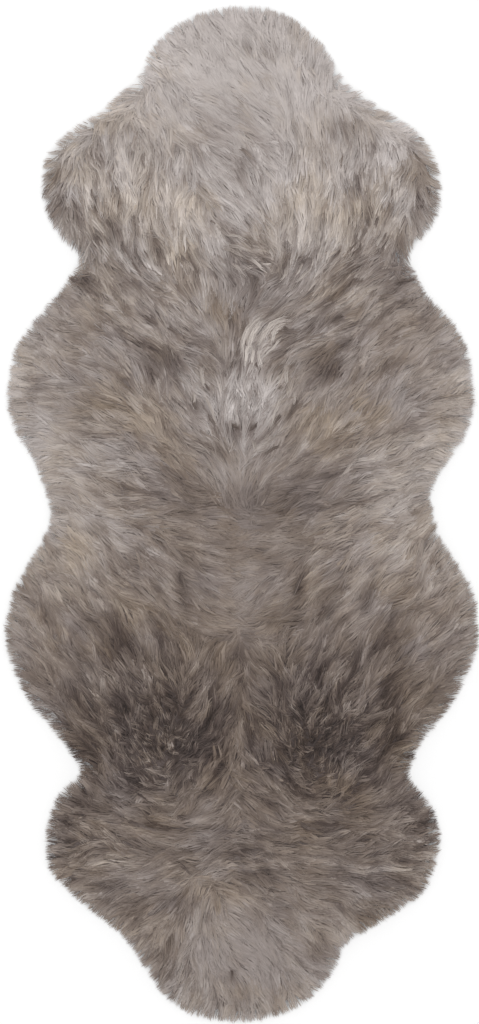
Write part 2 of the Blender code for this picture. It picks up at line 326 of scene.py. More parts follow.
# %% Strokes of the comb
Stroke = namedtuple("Stroke", "x y tips pair", defaults=(False,))
BACK_LINE_Y, BACK_LINE_X = (0, 300, 400, 720, 1024), (242, 242, 244.5, 239, 240)
STROKES = as_records(Stroke, [
    # head lobe: brushed up and to the left, then down and right across the neck
    (205, 14, 118), (245, 12, 108), (285, 22, 104), (175, 38, 130), (215, 38, 122),
    (255, 34, 110), (310, 45, 112), (150, 66, 140), (328, 78, 104), (188, 78, -58),
    (225, 72, -48), (252, 84, -48), (290, 78, -72), (165, 96, -58), (205, 108, -46),
    (245, 116, -36), (280, 105, -66), (310, 108, -80), (335, 112, -96), (215, 132, -42),
    (262, 134, -38), (290, 135, -78), (150, 122, -66), (112, 130, -72, PAIR),
    # front shoulders: combed towards the tail, tips overhanging in a ragged row
    (132, 98, 226, PAIR), (104, 114, 220, PAIR), (76, 130, 216, PAIR), (52, 150, 232, PAIR),
    (46, 185, 246, PAIR), (50, 220, 240, PAIR), (62, 165, -72, PAIR), (58, 205, -68, PAIR),
    (75, 238, -58, PAIR), (100, 160, -84, PAIR), (98, 200, -82, PAIR), (108, 238, -64, PAIR),
    (145, 165, -90, PAIR), (142, 210, -84, PAIR), (150, 245, -70, PAIR), (182, 180, -88, PAIR),
    (186, 225, -84, PAIR), (184, 256, -74, PAIR), (232, 160, -52), (228, 195, -52),
    (222, 235, -42), (248, 215, -50), (250, 250, -28), (272, 250, -42), (276, 205, -78),
    (298, 268, -128), (95, 265, -45, PAIR), (128, 265, -44, PAIR),
    # below the parting: inner wool falls towards the back line
    (132, 305, -42, PAIR), (168, 300, -50, PAIR), (220, 300, -85), (268, 300, -120),
    (200, 328, -34), (286, 312, -150), (275, 330, -165), (250, 352, -98), (298, 345, -142),
    (165, 340, -42, PAIR), (190, 372, -55, PAIR), (160, 385, -60, PAIR), (188, 405, -66, PAIR),
    (222, 390, -84, PAIR), (228, 418, -86, PAIR), (205, 428, -52, PAIR), (218, 445, -44, PAIR),
    (178, 438, -46, PAIR), (150, 425, -55, PAIR), (160, 462, -32, PAIR), (190, 475, -24, PAIR),
    (155, 495, -16, PAIR), (195, 508, -14, PAIR), (222, 528, -4, PAIR), (236, 480, -88, PAIR),
    # haunches of the front pelt: tips fan up and out to the rim
    (75, 298, 150, PAIR), (98, 318, 144, PAIR), (45, 335, 150, PAIR), (20, 375, 165, PAIR),
    (60, 365, 150, PAIR), (100, 362, 140, PAIR), (15, 412, 176, PAIR), (60, 405, 158, PAIR),
    (105, 405, 138, PAIR), (30, 445, 178, PAIR), (75, 445, 164, PAIR), (112, 440, 150, PAIR),
    (60, 485, 170, PAIR), (100, 480, 164, PAIR), (65, 518, 150, PAIR), (105, 520, 160, PAIR),
    # haunches of the back pelt
    (55, 548, 130, PAIR), (90, 550, 134, PAIR), (128, 548, 146, PAIR), (35, 590, 130, PAIR),
    (75, 595, 130, PAIR), (118, 598, 136, PAIR), (158, 560, -44, PAIR), (176, 588, -64, PAIR),
    (205, 545, -4, PAIR), (205, 590, -22, PAIR), (205, 618, -28, PAIR), (25, 640, 142, PAIR),
    (62, 645, 132, PAIR), (100, 645, 130, PAIR), (140, 640, 126, PAIR), (175, 655, 118, PAIR),
    (60, 690, 134, PAIR), (100, 695, 130, PAIR), (138, 690, 122, PAIR), (90, 740, 130, PAIR),
    (120, 765, 128, PAIR), (215, 662, 52, PAIR), (220, 700, 54, PAIR), (224, 740, 56, PAIR),
    (205, 785, -138, PAIR), (225, 800, -130, PAIR),
    # its shoulders: combed flat out to both sides
    (80, 790, 150, PAIR), (120, 805, 158, PAIR), (60, 830, 180, PAIR), (100, 830, 172, PAIR),
    (150, 825, 168, PAIR), (60, 865, 182, PAIR), (105, 868, 178, PAIR), (150, 865, 186, PAIR),
    (185, 840, 190, PAIR), (185, 872, 215, PAIR), (225, 850, 200, PAIR),
    # its head lobe
    (95, 898, 196, PAIR), (135, 905, 204, PAIR), (150, 935, 228, PAIR), (172, 925, 240),
    (160, 965, 226, PAIR), (198, 912, -98), (230, 912, -42), (248, 942, -52), (285, 920, -30),
    (315, 930, -50), (290, 960, -66), (215, 960, -64), (245, 988, -52), (200, 990, -112),
    (240, 1012, -88), (282, 1000, -70),
])
STROKE_REACH = 42 * MM
SPLAY_WIDTH = 32 * MM  # wool nearer than this to the rim turns outward
MOST_SPLAY, SPLAY_CURVE = 0.5, 1.4
WAVES = 15  # degrees that neighbouring locks turn together, off the comb's way
WAVE_WIDTH = 26 * MM
SEEDS_APART = 17.3  # lumps of noise between one seed's layer and the next
TINY = 1e-9  # the same, where directions are added up


def evened(values):
    """The map scaled so that it runs from about -1 to 1."""
    return values / max(values.std(), SLIGHT) * 0.5


def noise_map(scale, seed):
    """Soft noise from about -1 to 1 whose lumps are about as wide as the scale."""
    values = np.empty(cell_x.shape)
    for (row, column), x in np.ndenumerate(cell_x):
        place = Vector((x / scale, cell_y[row, column] / scale, SEEDS_APART * seed))
        values[row, column] = noise.noise(place)
    return evened(values)


def across_back(x, y):
    """The picture x of a place mirrored over the line of the back."""
    return 2 * float(np.interp(y, BACK_LINE_Y, BACK_LINE_X)) - x


def comb_map(strokes):
    """Two maps of a unit vector along the wool, and one of how well the strokes agree."""
    total = np.zeros(cell_x.shape, complex)
    doubled = np.zeros(cell_x.shape, complex)
    weight = np.full(cell_x.shape, TINY)
    for stroke in strokes:
        other_x = across_back(stroke.x, stroke.y)
        mirrored = Stroke(other_x, stroke.y, 180 - stroke.tips)
        for one in (stroke, mirrored) if stroke.pair else (stroke,):
            x, y = from_photo(one.x, one.y)
            near = np.exp(-((cell_x - x) ** 2 + (cell_y - y) ** 2) / STROKE_REACH**2)
            weight += near
            total += near * np.exp(1j * math.radians(one.tips))
            doubled += near * np.exp(2j * math.radians(one.tips))
    line = np.exp(0.5j * np.angle(doubled))  # the angle of the line, its sense still open
    line = line * np.exp(1j * math.radians(WAVES) * 2 * noise_map(WAVE_WIDTH, 8))
    sense = np.where((total * line.conjugate()).real < 0, -1, 1)
    lie_x, lie_y = (line * sense).real, (line * sense).imag
    firmness = np.clip((np.abs(total) + TINY) / weight, 0, 1)
    splay = np.clip(1 - inside_by / SPLAY_WIDTH, 0, 1) ** SPLAY_CURVE * MOST_SPLAY
    lie_x = lie_x * (1 - splay) + outward_x * splay
    lie_y = lie_y * (1 - splay) + outward_y * splay
    size = np.hypot(lie_x, lie_y) + TINY
    return lie_x / size, lie_y / size, firmness


lie_x, lie_y, firmness = comb_map(STROKES)
print(len(STROKES), "strokes of the comb")

# %% [markdown]
# ## How light the wool is
#
# Washed wool bleaches at its tips and stays dark at its roots, and it is palest at the head
# of the front pelt. The first table says how light the wool is at the middle and at the rim
# for some heights in the photograph, where 0 is black and 1 is white. The second one adds
# patches: the pale patch on the rump, the row of pale tips along the shoulders, painted shade
# for the dark hollows between tufts, and places where the wool is yellower. Each is an oval
# with its middle and half widths in picture points, then how much lighter and how much
# yellower it is, and the degrees that it is turned.

# %% Lightness
Shade = namedtuple("Shade", "y rim middle")
SHADES = as_records(Shade, [
    (0, 0.555, 0.595), (60, 0.605, 0.59), (112, 0.61, 0.58), (140, 0.58, 0.57), (200, 0.5, 0.6),
    (245, 0.49, 0.575), (290, 0.46, 0.475), (340, 0.495, 0.475), (400, 0.505, 0.465),
    (460, 0.55, 0.485), (500, 0.545, 0.425), (560, 0.5, 0.435), (620, 0.455, 0.415),
    (660, 0.425, 0.37), (700, 0.38, 0.325), (745, 0.35, 0.325), (775, 0.35, 0.355),
    (800, 0.36, 0.385), (860, 0.4, 0.42), (920, 0.445, 0.475), (980, 0.475, 0.475),
    (1020, 0.49, 0.51),
])
Patch = namedtuple(
    "Patch", "x y half_x half_y lighter warmer turn pair", defaults=(0, 0, False)
)
PATCHES = as_records(Patch, [
    # head and neck: lilac grey
    (240, 50, 110, 60, 0, -0.6), (170, 40, 30, 14, 0.03, 0, 45), (300, 60, 18, 18, 0.045),
    (240, 200, 220, 110, 0, -0.15), (236, 175, 40, 60, -0.035, -0.3),
    (268, 52, 22, 8, -0.05, 0.6), (250, 52, 4, 5, -0.06), (255, 72, 20, 5, 0, 0.6),
    (210, 125, 26, 7, -0.04, 0, -40), (258, 142, 16, 5, -0.06, 0, -40), (246, 157, 10, 12, -0.05),
    (162, 160, 8, 18, -0.045, 0, 0, PAIR), (142, 140, 20, 12, -0.04, 0, 0, PAIR),
    (300, 142, 14, 12, -0.035), (120, 130, 30, 10, -0.05, -0.2, 10, PAIR),
    (150, 115, 44, 26, 0, -0.25, 0, PAIR),
    # shoulders: pale, yellowed tips over a dark hollow of painted shade
    (150, 190, 44, 36, 0, 0.35, 0, PAIR), (100, 222, 16, 14, 0.06), (140, 218, 14, 12, 0.035),
    (182, 182, 14, 12, -0.035), (218, 218, 12, 12, -0.045), (95, 185, 14, 24, 0.04, 0, 0, PAIR),
    (320, 182, 40, 16, 0.035), (180, 235, 12, 22, 0.07, 0.4, 0, PAIR),
    (184, 215, 17, 26, 0.04, 0, 0, PAIR), (196, 286, 12, 14, -0.04, 0, 0, PAIR),
    (142, 244, 9, 8, 0.05, 0, 0, PAIR), (55, 190, 14, 30, -0.04, 0, 0, PAIR),
    (60, 222, 12, 14, -0.05), (420, 165, 12, 26, -0.04), (425, 170, 16, 36, -0.02),
    (100, 240, 6, 5, -0.13, 0, 0, PAIR), (83, 246, 6, 9, -0.08, 0, 0, PAIR),
    (127, 252, 8, 3, -0.15, 0, -62, PAIR), (148, 257, 6, 3, -0.12, 0, -60, PAIR),
    (138, 269, 11, 2.5, -0.13, 0, -50, PAIR), (120, 262, 5, 4, -0.1, 0, 0, PAIR),
    (112, 268, 8, 3, -0.08, 0, -45, PAIR), (128, 277, 9, 2.5, -0.08, 0.2, -40, PAIR),
    (172, 268, 6, 3, -0.1, 0, -60, PAIR), (184, 260, 7, 4, -0.14, 0, 0, PAIR),
    (78, 282, 10, 4, -0.15, 0, -10, PAIR), (92, 293, 8, 3, -0.11, 0, -40, PAIR),
    (127, 284, 10, 4, -0.09, 0, 0, PAIR), (152, 279, 5, 6, -0.08, 0, 0, PAIR),
    (190, 291, 8, 6, -0.05, -0.4, 0, PAIR), (100, 262, 14, 10, 0.05), (385, 262, 16, 12, -0.06),
    # between the shoulders: a dark hollow of painted shade that curled wisps cross
    (262, 222, 14, 14, -0.055), (246, 262, 40, 32, -0.045, -0.2, -30), (213, 224, 5, 4, -0.1),
    (227, 230, 14, 13, -0.05), (224, 231, 5, 7, -0.05), (245, 226, 5, 5, -0.05),
    (267, 257, 6, 4, -0.12), (252, 245, 6, 4, -0.07, 0, -40), (249, 264, 7, 4, -0.07, 0, -20),
    (250, 279, 8, 5, -0.09, 0, -20), (281, 266, 5, 6, -0.1), (280, 284, 4, 4, -0.1),
    (257, 294, 8, 3, -0.08), (214, 262, 9, 10, -0.02, 0.2), (291, 292, 11, 10, 0.06),
    (300, 258, 12, 12, -0.04), (263, 306, 14, 12, -0.06),
    # below them: tufts with dark hollows of painted shade, tan and reddish places
    (122, 300, 12, 14, 0.05, 0.2, 0, PAIR), (222, 304, 13, 11, 0, 0.7), (225, 318, 16, 3, -0.1),
    (104, 317, 14, 3, -0.09, 0, -42, PAIR), (150, 320, 12, 5, -0.16, 0, -30, PAIR),
    (165, 306, 10, 3, -0.08, 0, -45, PAIR), (174, 331, 12, 4, -0.1, 0.2, -45, PAIR),
    (148, 346, 11, 5, -0.11, 0.5, -35, PAIR), (128, 338, 26, 3, -0.05, 0, -35, PAIR),
    (160, 364, 18, 20, -0.06, 0, 0, PAIR), (172, 362, 12, 8, -0.07, 0, -50, PAIR),
    (154, 372, 6, 10, -0.1, 0, 0, PAIR), (200, 345, 14, 6, -0.05, 0, -30, PAIR),
    # under the pale lock: painted shade round it, and one paler place
    (262, 338, 17, 14, 0.06, -0.2, 20), (285, 330, 7, 5, -0.13, 0, 20), (236, 338, 4, 9, -0.1),
    (242, 326, 8, 3, -0.1, 0, 65), (237, 355, 4, 6, -0.08), (233, 367, 5, 5, -0.08),
    (257, 367, 4, 6, -0.13), (210, 359, 7, 3, -0.07, 0, -30),
    # pale patch on the rump, with dark corners of painted shade
    (241, 386, 60, 14, 0.07, -0.4), (236, 404, 42, 26, 0.07, -0.4), (214, 440, 14, 26, 0.045),
    (264, 374, 12, 9, -0.05), (242, 412, 26, 13, 0.06, -0.2), (215, 413, 14, 5, 0.05, 0, -58),
    (274, 413, 14, 5, 0.05, 0, 58), (208, 388, 6, 4, -0.15, 0, -40),
    (281, 388, 6, 4, -0.15, 0, 40), (234, 396, 5, 3, -0.06), (254, 396, 5, 3, -0.06),
    (211, 421, 9, 3, -0.14, 0, -65), (278, 421, 9, 3, -0.14, 0, 65),
    (195, 406, 11, 5, -0.12, 0, -70), (293, 408, 11, 5, -0.12, 0, 70),
    (235, 428, 7, 4, -0.19, 0, -10), (253, 428, 7, 4, -0.17, 0, 10),
    (244, 435, 16, 4, -0.08, -0.3), (216, 450, 16, 3, -0.13, 0, -34),
    (270, 450, 14, 3, -0.11, 0, 32), (212, 437, 12, 4, 0.03, 0.1, -38),
    (276, 437, 12, 4, 0.03, 0.1, 38), (244, 446, 12, 8, 0.05, -0.2),
    (242, 470, 22, 14, 0.03, -0.1), (248, 508, 8, 6, -0.04, -0.3),
    # flanks of the front pelt
    (240, 400, 46, 110, 0, -0.35), (16, 380, 12, 24, 0.12), (420, 400, 20, 30, -0.035),
    (460, 390, 12, 34, 0.06), (400, 360, 50, 22, -0.035, 0, 20), (340, 380, 16, 16, -0.05),
    (382, 384, 16, 12, 0.035), (424, 340, 16, 14, -0.045), (382, 440, 18, 26, -0.04),
    (420, 500, 14, 20, -0.06), (340, 500, 16, 18, -0.04), (160, 470, 34, 24, -0.035),
    (140, 420, 34, 22, 0.02, 0.8, 0, PAIR), (165, 450, 26, 6, -0.05, 0.2, -30, PAIR),
    (160, 478, 34, 14, -0.05, 0, 0, PAIR), (200, 500, 30, 16, -0.04, 0, 0, PAIR),
    (178, 492, 16, 24, -0.035, 0, 0, PAIR), (45, 440, 22, 26, 0.03, -0.2, 0, PAIR),
    # back pelt
    (240, 740, 200, 140, 0, 0.35), (240, 600, 220, 60, 0, 0.15),
    (80, 560, 40, 22, 0.04, 0.3, 25, PAIR), (183, 588, 6, 16, -0.15, 0, 14, PAIR),
    (170, 575, 7, 18, 0.06, 0.2, 14, PAIR), (240, 590, 30, 34, 0.03, -0.3),
    (248, 622, 30, 22, 0, -0.4), (388, 680, 24, 50, -0.085), (420, 725, 18, 26, 0.08),
    (300, 660, 14, 14, -0.035), (345, 740, 26, 18, -0.08), (100, 705, 22, 18, -0.06),
    (462, 670, 14, 30, 0.04), (22, 585, 12, 14, -0.09), (20, 622, 12, 14, 0.04),
    (60, 618, 16, 14, 0.03), (130, 645, 24, 26, -0.045), (182, 695, 14, 18, 0.05),
    (380, 578, 18, 14, 0.035), (118, 588, 30, 16, 0.04), (100, 620, 16, 10, -0.05),
    (226, 540, 18, 12, -0.06), (60, 508, 12, 14, -0.05), (120, 650, 44, 14, -0.02, 0, -40, PAIR),
    (164, 738, 50, 24, -0.025, 0.1, 0, PAIR), (158, 698, 16, 20, -0.045, 0, 0, PAIR),
    (215, 700, 14, 40, 0.03, 0, -14, PAIR), (238, 735, 12, 40, 0.03),
    # its shoulders and head
    (130, 785, 30, 12, -0.02), (100, 822, 16, 12, 0.05), (60, 858, 14, 20, -0.03),
    (164, 898, 11, 8, -0.08), (182, 902, 14, 14, -0.075), (180, 818, 16, 12, -0.04),
    (262, 820, 14, 12, 0.035), (424, 820, 14, 14, 0.035), (220, 925, 24, 30, 0, -0.4),
    (180, 982, 12, 12, 0.04), (262, 862, 14, 12, 0.035), (300, 780, 18, 12, -0.045),
    (267, 874, 9, 10, -0.06), (194, 916, 10, 14, 0.04, 0, -20), (180, 862, 12, 12, -0.03),
    (342, 938, 14, 18, 0.06), (375, 895, 22, 16, 0.05), (380, 822, 18, 12, 0.05),
    (220, 795, 26, 26, 0.03), (92, 768, 14, 8, -0.06, 0, -30, PAIR),
    (155, 825, 20, 5, -0.1, 0, -12, PAIR), (60, 800, 20, 6, 0.02, 0, 30, PAIR),
    (110, 862, 50, 8, 0.05, 0.3, 5, PAIR), (100, 884, 34, 4, -0.06, 0, -12, PAIR),
    (170, 862, 12, 4, 0.06, 0, -40, PAIR), (220, 860, 26, 12, -0.04, -0.1),
    (125, 918, 34, 6, -0.03, 0.3, 45, PAIR), (245, 935, 40, 24, 0.01, -0.3),
    (232, 974, 4, 8, -0.1), (160, 965, 8, 20, -0.04, 0, -30, PAIR),
])
FLANK_FROM, FLANK_WIDTH = 0.25, 0.65  # shares of the way to the rim
FLANK_CURVE = 1.3
NARROWEST_HALF = 60 * MM


def spot(patch):
    """A map that is 1 at the patch's middle and fades over its half widths."""
    total = np.zeros(cell_x.shape)
    for side in (1, -1) if patch.pair else (1,):
        picture_x = patch.x if side == 1 else across_back(patch.x, patch.y)
        x, y = from_photo(picture_x, patch.y)
        turn = math.radians(side * patch.turn)
        along = (cell_x - x) * math.cos(turn) + (cell_y - y) * math.sin(turn)
        across = (cell_y - y) * math.cos(turn) - (cell_x - x) * math.sin(turn)
        scale = MM_PER_POINT * MM
        away = (along / patch.half_x) ** 2 + (across / patch.half_y) ** 2
        total = np.maximum(total, np.exp(-away / scale**2))
    return total


def shade_map():
    """How light the wool is over the rug, before its patches."""
    picture_y = RUG_MIDDLE[1] - cell_y / MM / MM_PER_POINT
    rows = [row.y for row in SHADES]
    rim = np.interp(picture_y, rows, [row.rim for row in SHADES])
    middle = np.interp(picture_y, rows, [row.middle for row in SHADES])
    half_width = np.maximum(np.abs(cell_x) + np.maximum(inside_by, 0), NARROWEST_HALF)
    to_rim = np.clip(np.abs(cell_x) / half_width, 0, 1)
    flank = np.clip((to_rim - FLANK_FROM) / FLANK_WIDTH, 0, 1) ** FLANK_CURVE
    return middle + (rim - middle) * flank


lightness = shade_map() + sum(patch.lighter * spot(patch) for patch in PATCHES)
yellowness = sum(patch.warmer * spot(patch) for patch in PATCHES)
print(len(SHADES), "rows of shades and", len(PATCHES), "patches")

# %% [markdown]
# ## Whorls and tufts
#
# Low on the back pelt the wool curls up into two dark whorls where the comb never
# straightened it. One map says how tangled the wool is, from 0 to 1: tangled locks are
# short, and their thin strands curl each its own way. Another map says how boldly the
# wool parts into tufts: on the head it is brushed out soft and smooth, and on the
# shoulders and round the whorls it stands in tufts with pale tips and dark gaps, whose
# shade is painted.

# %% Tangles and tufts
Area = namedtuple("Area", "x y half_x half_y amount turn pair", defaults=(0, False))
TANGLED = as_records(Area, [
    (158, 746, 50, 58, 1, 0, PAIR), (150, 690, 34, 22, 0.5, 0, PAIR), (262, 52, 20, 10, 0.3),
    (240, 850, 60, 30, 0.35), (95, 840, 50, 34, 0.3, 0, PAIR), (285, 275, 14, 10, 0.4),
    (246, 262, 30, 18, 0.35, -30), (244, 404, 30, 20, 0.45), (244, 350, 24, 20, 0.25),
])
PLAIN_TUFTS = 0.8
TUFTED = as_records(Area, [
    (240, 40, 120, 70, -0.55), (235, 110, 90, 30, -0.3), (110, 200, 70, 50, 0.5, 0, PAIR),
    (150, 262, 70, 24, 0.5, 0, PAIR), (262, 262, 26, 24, 0.3), (165, 335, 36, 50, 0.2, 0, PAIR),
    (240, 380, 50, 60, 0.3), (45, 400, 50, 90, -0.2, 0, PAIR), (240, 560, 50, 90, -0.4),
    (244, 480, 20, 40, -0.35), (165, 720, 80, 70, 0.7, 0, PAIR), (70, 740, 40, 30, 0.4, 0, PAIR),
    (60, 850, 50, 60, 0.6, 0, PAIR), (245, 950, 56, 50, -0.55),
])
tangled = np.max([area.amount * spot(area) for area in TANGLED], axis=0)
boldness = PLAIN_TUFTS + sum(area.amount * spot(area) for area in TUFTED)
print("tufts stand out from", round(boldness.min(), 2), "to", round(boldness.max(), 2))

# %% [markdown]
# ## Locks that stand out
#
# A few single locks catch the eye, and each is placed one by one: its root, its middle and
# its tip in picture points, the number of its strands, how far apart they start and how light
# it is. The dark ones are painted shade: dark strands laid over the gaps between tufts. As
# before, a pair is mirrored over the line of the back.

# %% Single locks
SingleLock = namedtuple(
    "SingleLock", "root middle tip strands spread lightness pair", defaults=(False,)
)
SINGLE_LOCKS = as_records(SingleLock, [
    # the pale lock that curls down onto the rump
    ((292, 322), (264, 319), (262, 349), 28, 4.2, 0.65),
    ((287, 326), (270, 325), (272, 351), 24, 3.8, 0.64),
    ((262, 318), (238, 333), (244, 360), 30, 4.2, 0.66),
    ((264, 321), (247, 337), (251, 355), 26, 3.6, 0.68),
    ((280, 323), (258, 330), (258, 356), 22, 3.6, 0.63),
    ((250, 344), (245, 354), (247, 371), 12, 2.4, 0.71),
    ((254, 348), (252, 360), (252, 373), 10, 2, 0.68),
    ((258, 350), (259, 361), (263, 372), 9, 2, 0.65),
    ((281, 340), (274, 349), (264, 358), 12, 2.6, 0.64),
    # pale wisps round the patch below it
    ((203, 366), (200, 378), (206, 390), 14, 2.8, 0.6, PAIR),
    ((204, 394), (214, 410), (218, 430), 16, 3.4, 0.6, PAIR),
    ((193, 390), (195, 400), (194, 411), 10, 2.6, 0.58, PAIR),
    ((236, 440), (233, 447), (229, 454), 9, 2.6, 0.55, PAIR),
    ((200, 431), (212, 437), (226, 447), 12, 2.8, 0.52, PAIR),
    # curled wisps between the shoulders
    ((226, 236), (238, 235), (249, 244), 11, 2.7, 0.58),
    ((220, 249), (233, 252), (247, 261), 11, 2.7, 0.55),
    ((226, 247), (243, 249), (258, 257), 11, 2.7, 0.55),
    ((248, 258), (257, 266), (267, 274), 13, 2.4, 0.61),
    ((228, 263), (240, 269), (248, 281), 13, 2.7, 0.57),
    ((242, 272), (248, 270), (256, 267), 8, 2.4, 0.57),
    ((261, 266), (267, 267), (274, 263), 8, 2.1, 0.61),
    ((261, 211), (262, 218), (265, 226), 10, 2.1, 0.65),
    ((264, 221), (274, 228), (278, 240), 13, 2.7, 0.62),
    ((276, 239), (277, 250), (284, 264), 13, 2.7, 0.6),
    ((286, 236), (289, 243), (294, 252), 10, 2.1, 0.6),
    ((266, 248), (274, 254), (272, 264), 10, 2.1, 0.59),
    ((287, 267), (286, 280), (278, 285), 11, 2.4, 0.59),
    ((311, 269), (305, 278), (294, 284), 13, 2.7, 0.58),
    ((248, 228), (254, 236), (259, 247), 11, 2.7, 0.57),
    # pale tips along the shoulders
    ((186, 232), (185, 245), (186, 258), 11, 2.4, 0.71, PAIR),
    ((177, 228), (174, 242), (176, 255), 14, 3.3, 0.65, PAIR),
    ((168, 228), (165, 241), (168, 254), 14, 3.3, 0.59, PAIR),
    ((170, 258), (172, 266), (176, 275), 8, 1.8, 0.59, PAIR),
    ((180, 262), (184, 271), (191, 281), 10, 1.8, 0.59, PAIR),
    ((124, 226), (124, 236), (128, 246), 11, 3, 0.57, PAIR),
    ((138, 234), (141, 244), (143, 254), 11, 3.3, 0.57, PAIR),
    ((93, 238), (97, 246), (101, 254), 10, 2.4, 0.57, PAIR),
    ((104, 246), (112, 253), (118, 263), 11, 3, 0.53, PAIR),
    ((118, 268), (124, 276), (134, 281), 11, 3, 0.51, PAIR),
    # painted shade: dark strands on the gaps along the shoulders and on the haunches
    ((240, 151), (249, 156), (257, 165), 12, 2.4, 0.46),
    ((91, 190), (93, 197), (96, 205), 8, 1.8, 0.41, PAIR),
    ((107, 218), (108, 225), (111, 232), 8, 1.8, 0.4, PAIR),
    ((134, 216), (135, 223), (138, 230), 8, 1.8, 0.41, PAIR),
    ((143, 154), (143, 163), (145, 173), 9, 2.2, 0.46, PAIR),
    ((118, 186), (118, 193), (121, 201), 8, 1.8, 0.45, PAIR),
    ((123, 244), (126, 251), (130, 260), 10, 2, 0.36, PAIR),
    ((130, 261), (137, 269), (146, 278), 10, 1.5, 0.37, PAIR),
    ((144, 251), (148, 257), (151, 263), 8, 1.6, 0.38, PAIR),
    ((96, 234), (100, 240), (103, 245), 8, 2.2, 0.38, PAIR),
    ((180, 256), (184, 260), (190, 264), 9, 2.4, 0.39, PAIR),
    ((70, 280), (78, 281), (88, 284), 10, 2.4, 0.35, PAIR),
    ((86, 290), (92, 294), (97, 298), 8, 1.6, 0.37, PAIR),
    ((120, 283), (127, 284), (135, 286), 8, 2, 0.4, PAIR),
    ((111, 266), (118, 270), (124, 276), 7, 1.4, 0.4, PAIR),
    ((142, 316), (150, 320), (158, 327), 10, 2.8, 0.35, PAIR),
    ((168, 327), (175, 332), (182, 338), 8, 2, 0.37, PAIR),
    ((180, 570), (183, 583), (192, 600), 12, 2.4, 0.34, PAIR),
    # painted shade: dark strands on the gaps round the pale lock and the pale patch
    ((282, 327), (286, 330), (291, 333), 9, 2.8, 0.35),
    ((245, 340), (246, 344), (247, 349), 6, 1.2, 0.36),
    ((255, 362), (257, 367), (258, 373), 8, 1.8, 0.36),
    ((237, 351), (237, 355), (238, 360), 7, 1.6, 0.38),
    ((242, 331), (244, 327), (248, 322), 7, 1.6, 0.38),
    ((232, 364), (233, 367), (235, 371), 6, 2, 0.4),
    ((205, 384), (208, 388), (212, 392), 11, 2.8, 0.35, PAIR),
    ((231, 425), (235, 428), (241, 431), 12, 3.2, 0.36, PAIR),
    ((209, 413), (211, 420), (216, 427), 11, 2.6, 0.37, PAIR),
    ((192, 399), (195, 406), (198, 414), 9, 2, 0.37, PAIR),
    ((208, 446), (216, 449), (225, 456), 9, 2, 0.37, PAIR),
    # painted shade: dark strands on the gaps between the shoulders
    ((263, 256), (267, 257), (271, 259), 8, 2.2, 0.37),
    ((246, 275), (251, 276), (256, 279), 8, 1.6, 0.38),
    ((210, 223), (213, 224), (217, 226), 7, 2, 0.41),
    ((246, 262), (249, 263), (252, 266), 7, 1.8, 0.4),
    # painted shade: dark strands on the gaps in and round the whorls
    ((163, 667), (164, 673), (166, 680), 8, 1.8, 0.25, PAIR),
    ((129, 670), (131, 676), (134, 681), 6, 1.4, 0.27, PAIR),
    ((114, 711), (121, 714), (130, 719), 9, 2, 0.26, PAIR),
    ((134, 716), (139, 721), (144, 726), 9, 2, 0.24, PAIR),
    ((157, 721), (161, 725), (166, 729), 7, 1.6, 0.24, PAIR),
    ((182, 724), (187, 719), (191, 715), 7, 1.6, 0.25, PAIR),
    ((178, 733), (184, 736), (190, 738), 9, 2, 0.24, PAIR),
    ((152, 738), (157, 743), (162, 748), 8, 2, 0.24, PAIR),
    ((166, 750), (173, 755), (180, 760), 11, 2.2, 0.22, PAIR),
    ((182, 759), (187, 762), (192, 766), 8, 1.8, 0.22, PAIR),
    ((189, 776), (194, 780), (199, 784), 8, 2, 0.25, PAIR),
    ((91, 740), (95, 745), (100, 752), 7, 1.6, 0.25, PAIR),
    ((136, 790), (143, 795), (150, 801), 9, 1.8, 0.24, PAIR),
    # painted shade: dark strands on the gaps on the shoulders of the back pelt
    ((176, 815), (184, 815), (194, 817), 12, 2.8, 0.31),
    ((128, 818), (142, 825), (165, 831), 16, 2.4, 0.33),
    ((88, 839), (97, 835), (104, 837), 10, 2.4, 0.35),
    ((180, 862), (186, 868), (194, 873), 11, 2.4, 0.34),
    ((298, 820), (306, 828), (322, 829), 12, 2.4, 0.34),
    ((322, 832), (332, 829), (349, 822), 12, 2.4, 0.33),
    ((254, 837), (264, 835), (272, 839), 10, 2.4, 0.36),
    ((258, 866), (266, 866), (274, 864), 10, 2.2, 0.35),
    ((274, 869), (281, 870), (289, 869), 9, 2, 0.36),
    ((376, 838), (384, 837), (394, 842), 10, 2.4, 0.35),
    ((268, 887), (273, 887), (281, 886), 9, 2.4, 0.37),
    ((373, 885), (386, 885), (398, 890), 11, 2.4, 0.36),
    # on its head
    ((198, 900), (199, 914), (192, 931), 12, 2.8, 0.54),
    ((190, 974), (187, 986), (180, 999), 11, 2.8, 0.53),
    ((232, 967), (232, 973), (233, 980), 7, 1.4, 0.35),
])


def both_sides(lock):
    """The lock itself, and its mirror image where it is one of a pair."""
    places = (lock.root, lock.middle, lock.tip)
    yield places
    if lock.pair:
        yield [(across_back(x, y), y) for x, y in places]


print(sum(1 for lock in SINGLE_LOCKS for _ in both_sides(lock)), "single locks")

# %% [markdown]
# ## Mottling
#
# No two locks of a fleece are quite the same colour. Wool that grew side by side is alike,
# so light turns to dark over a finger's width, and cool to warm over a hand's. Two more
# maps hold this, made of soft noise, and the light and dark of it is drawn out along the
# lie of the wool, as the locks are. A third map is finer noise, drawn out too: its high
# places are the tufts, and its low places are painted shade for the gaps between them. In
# the whorls it stays round, like the curls there.

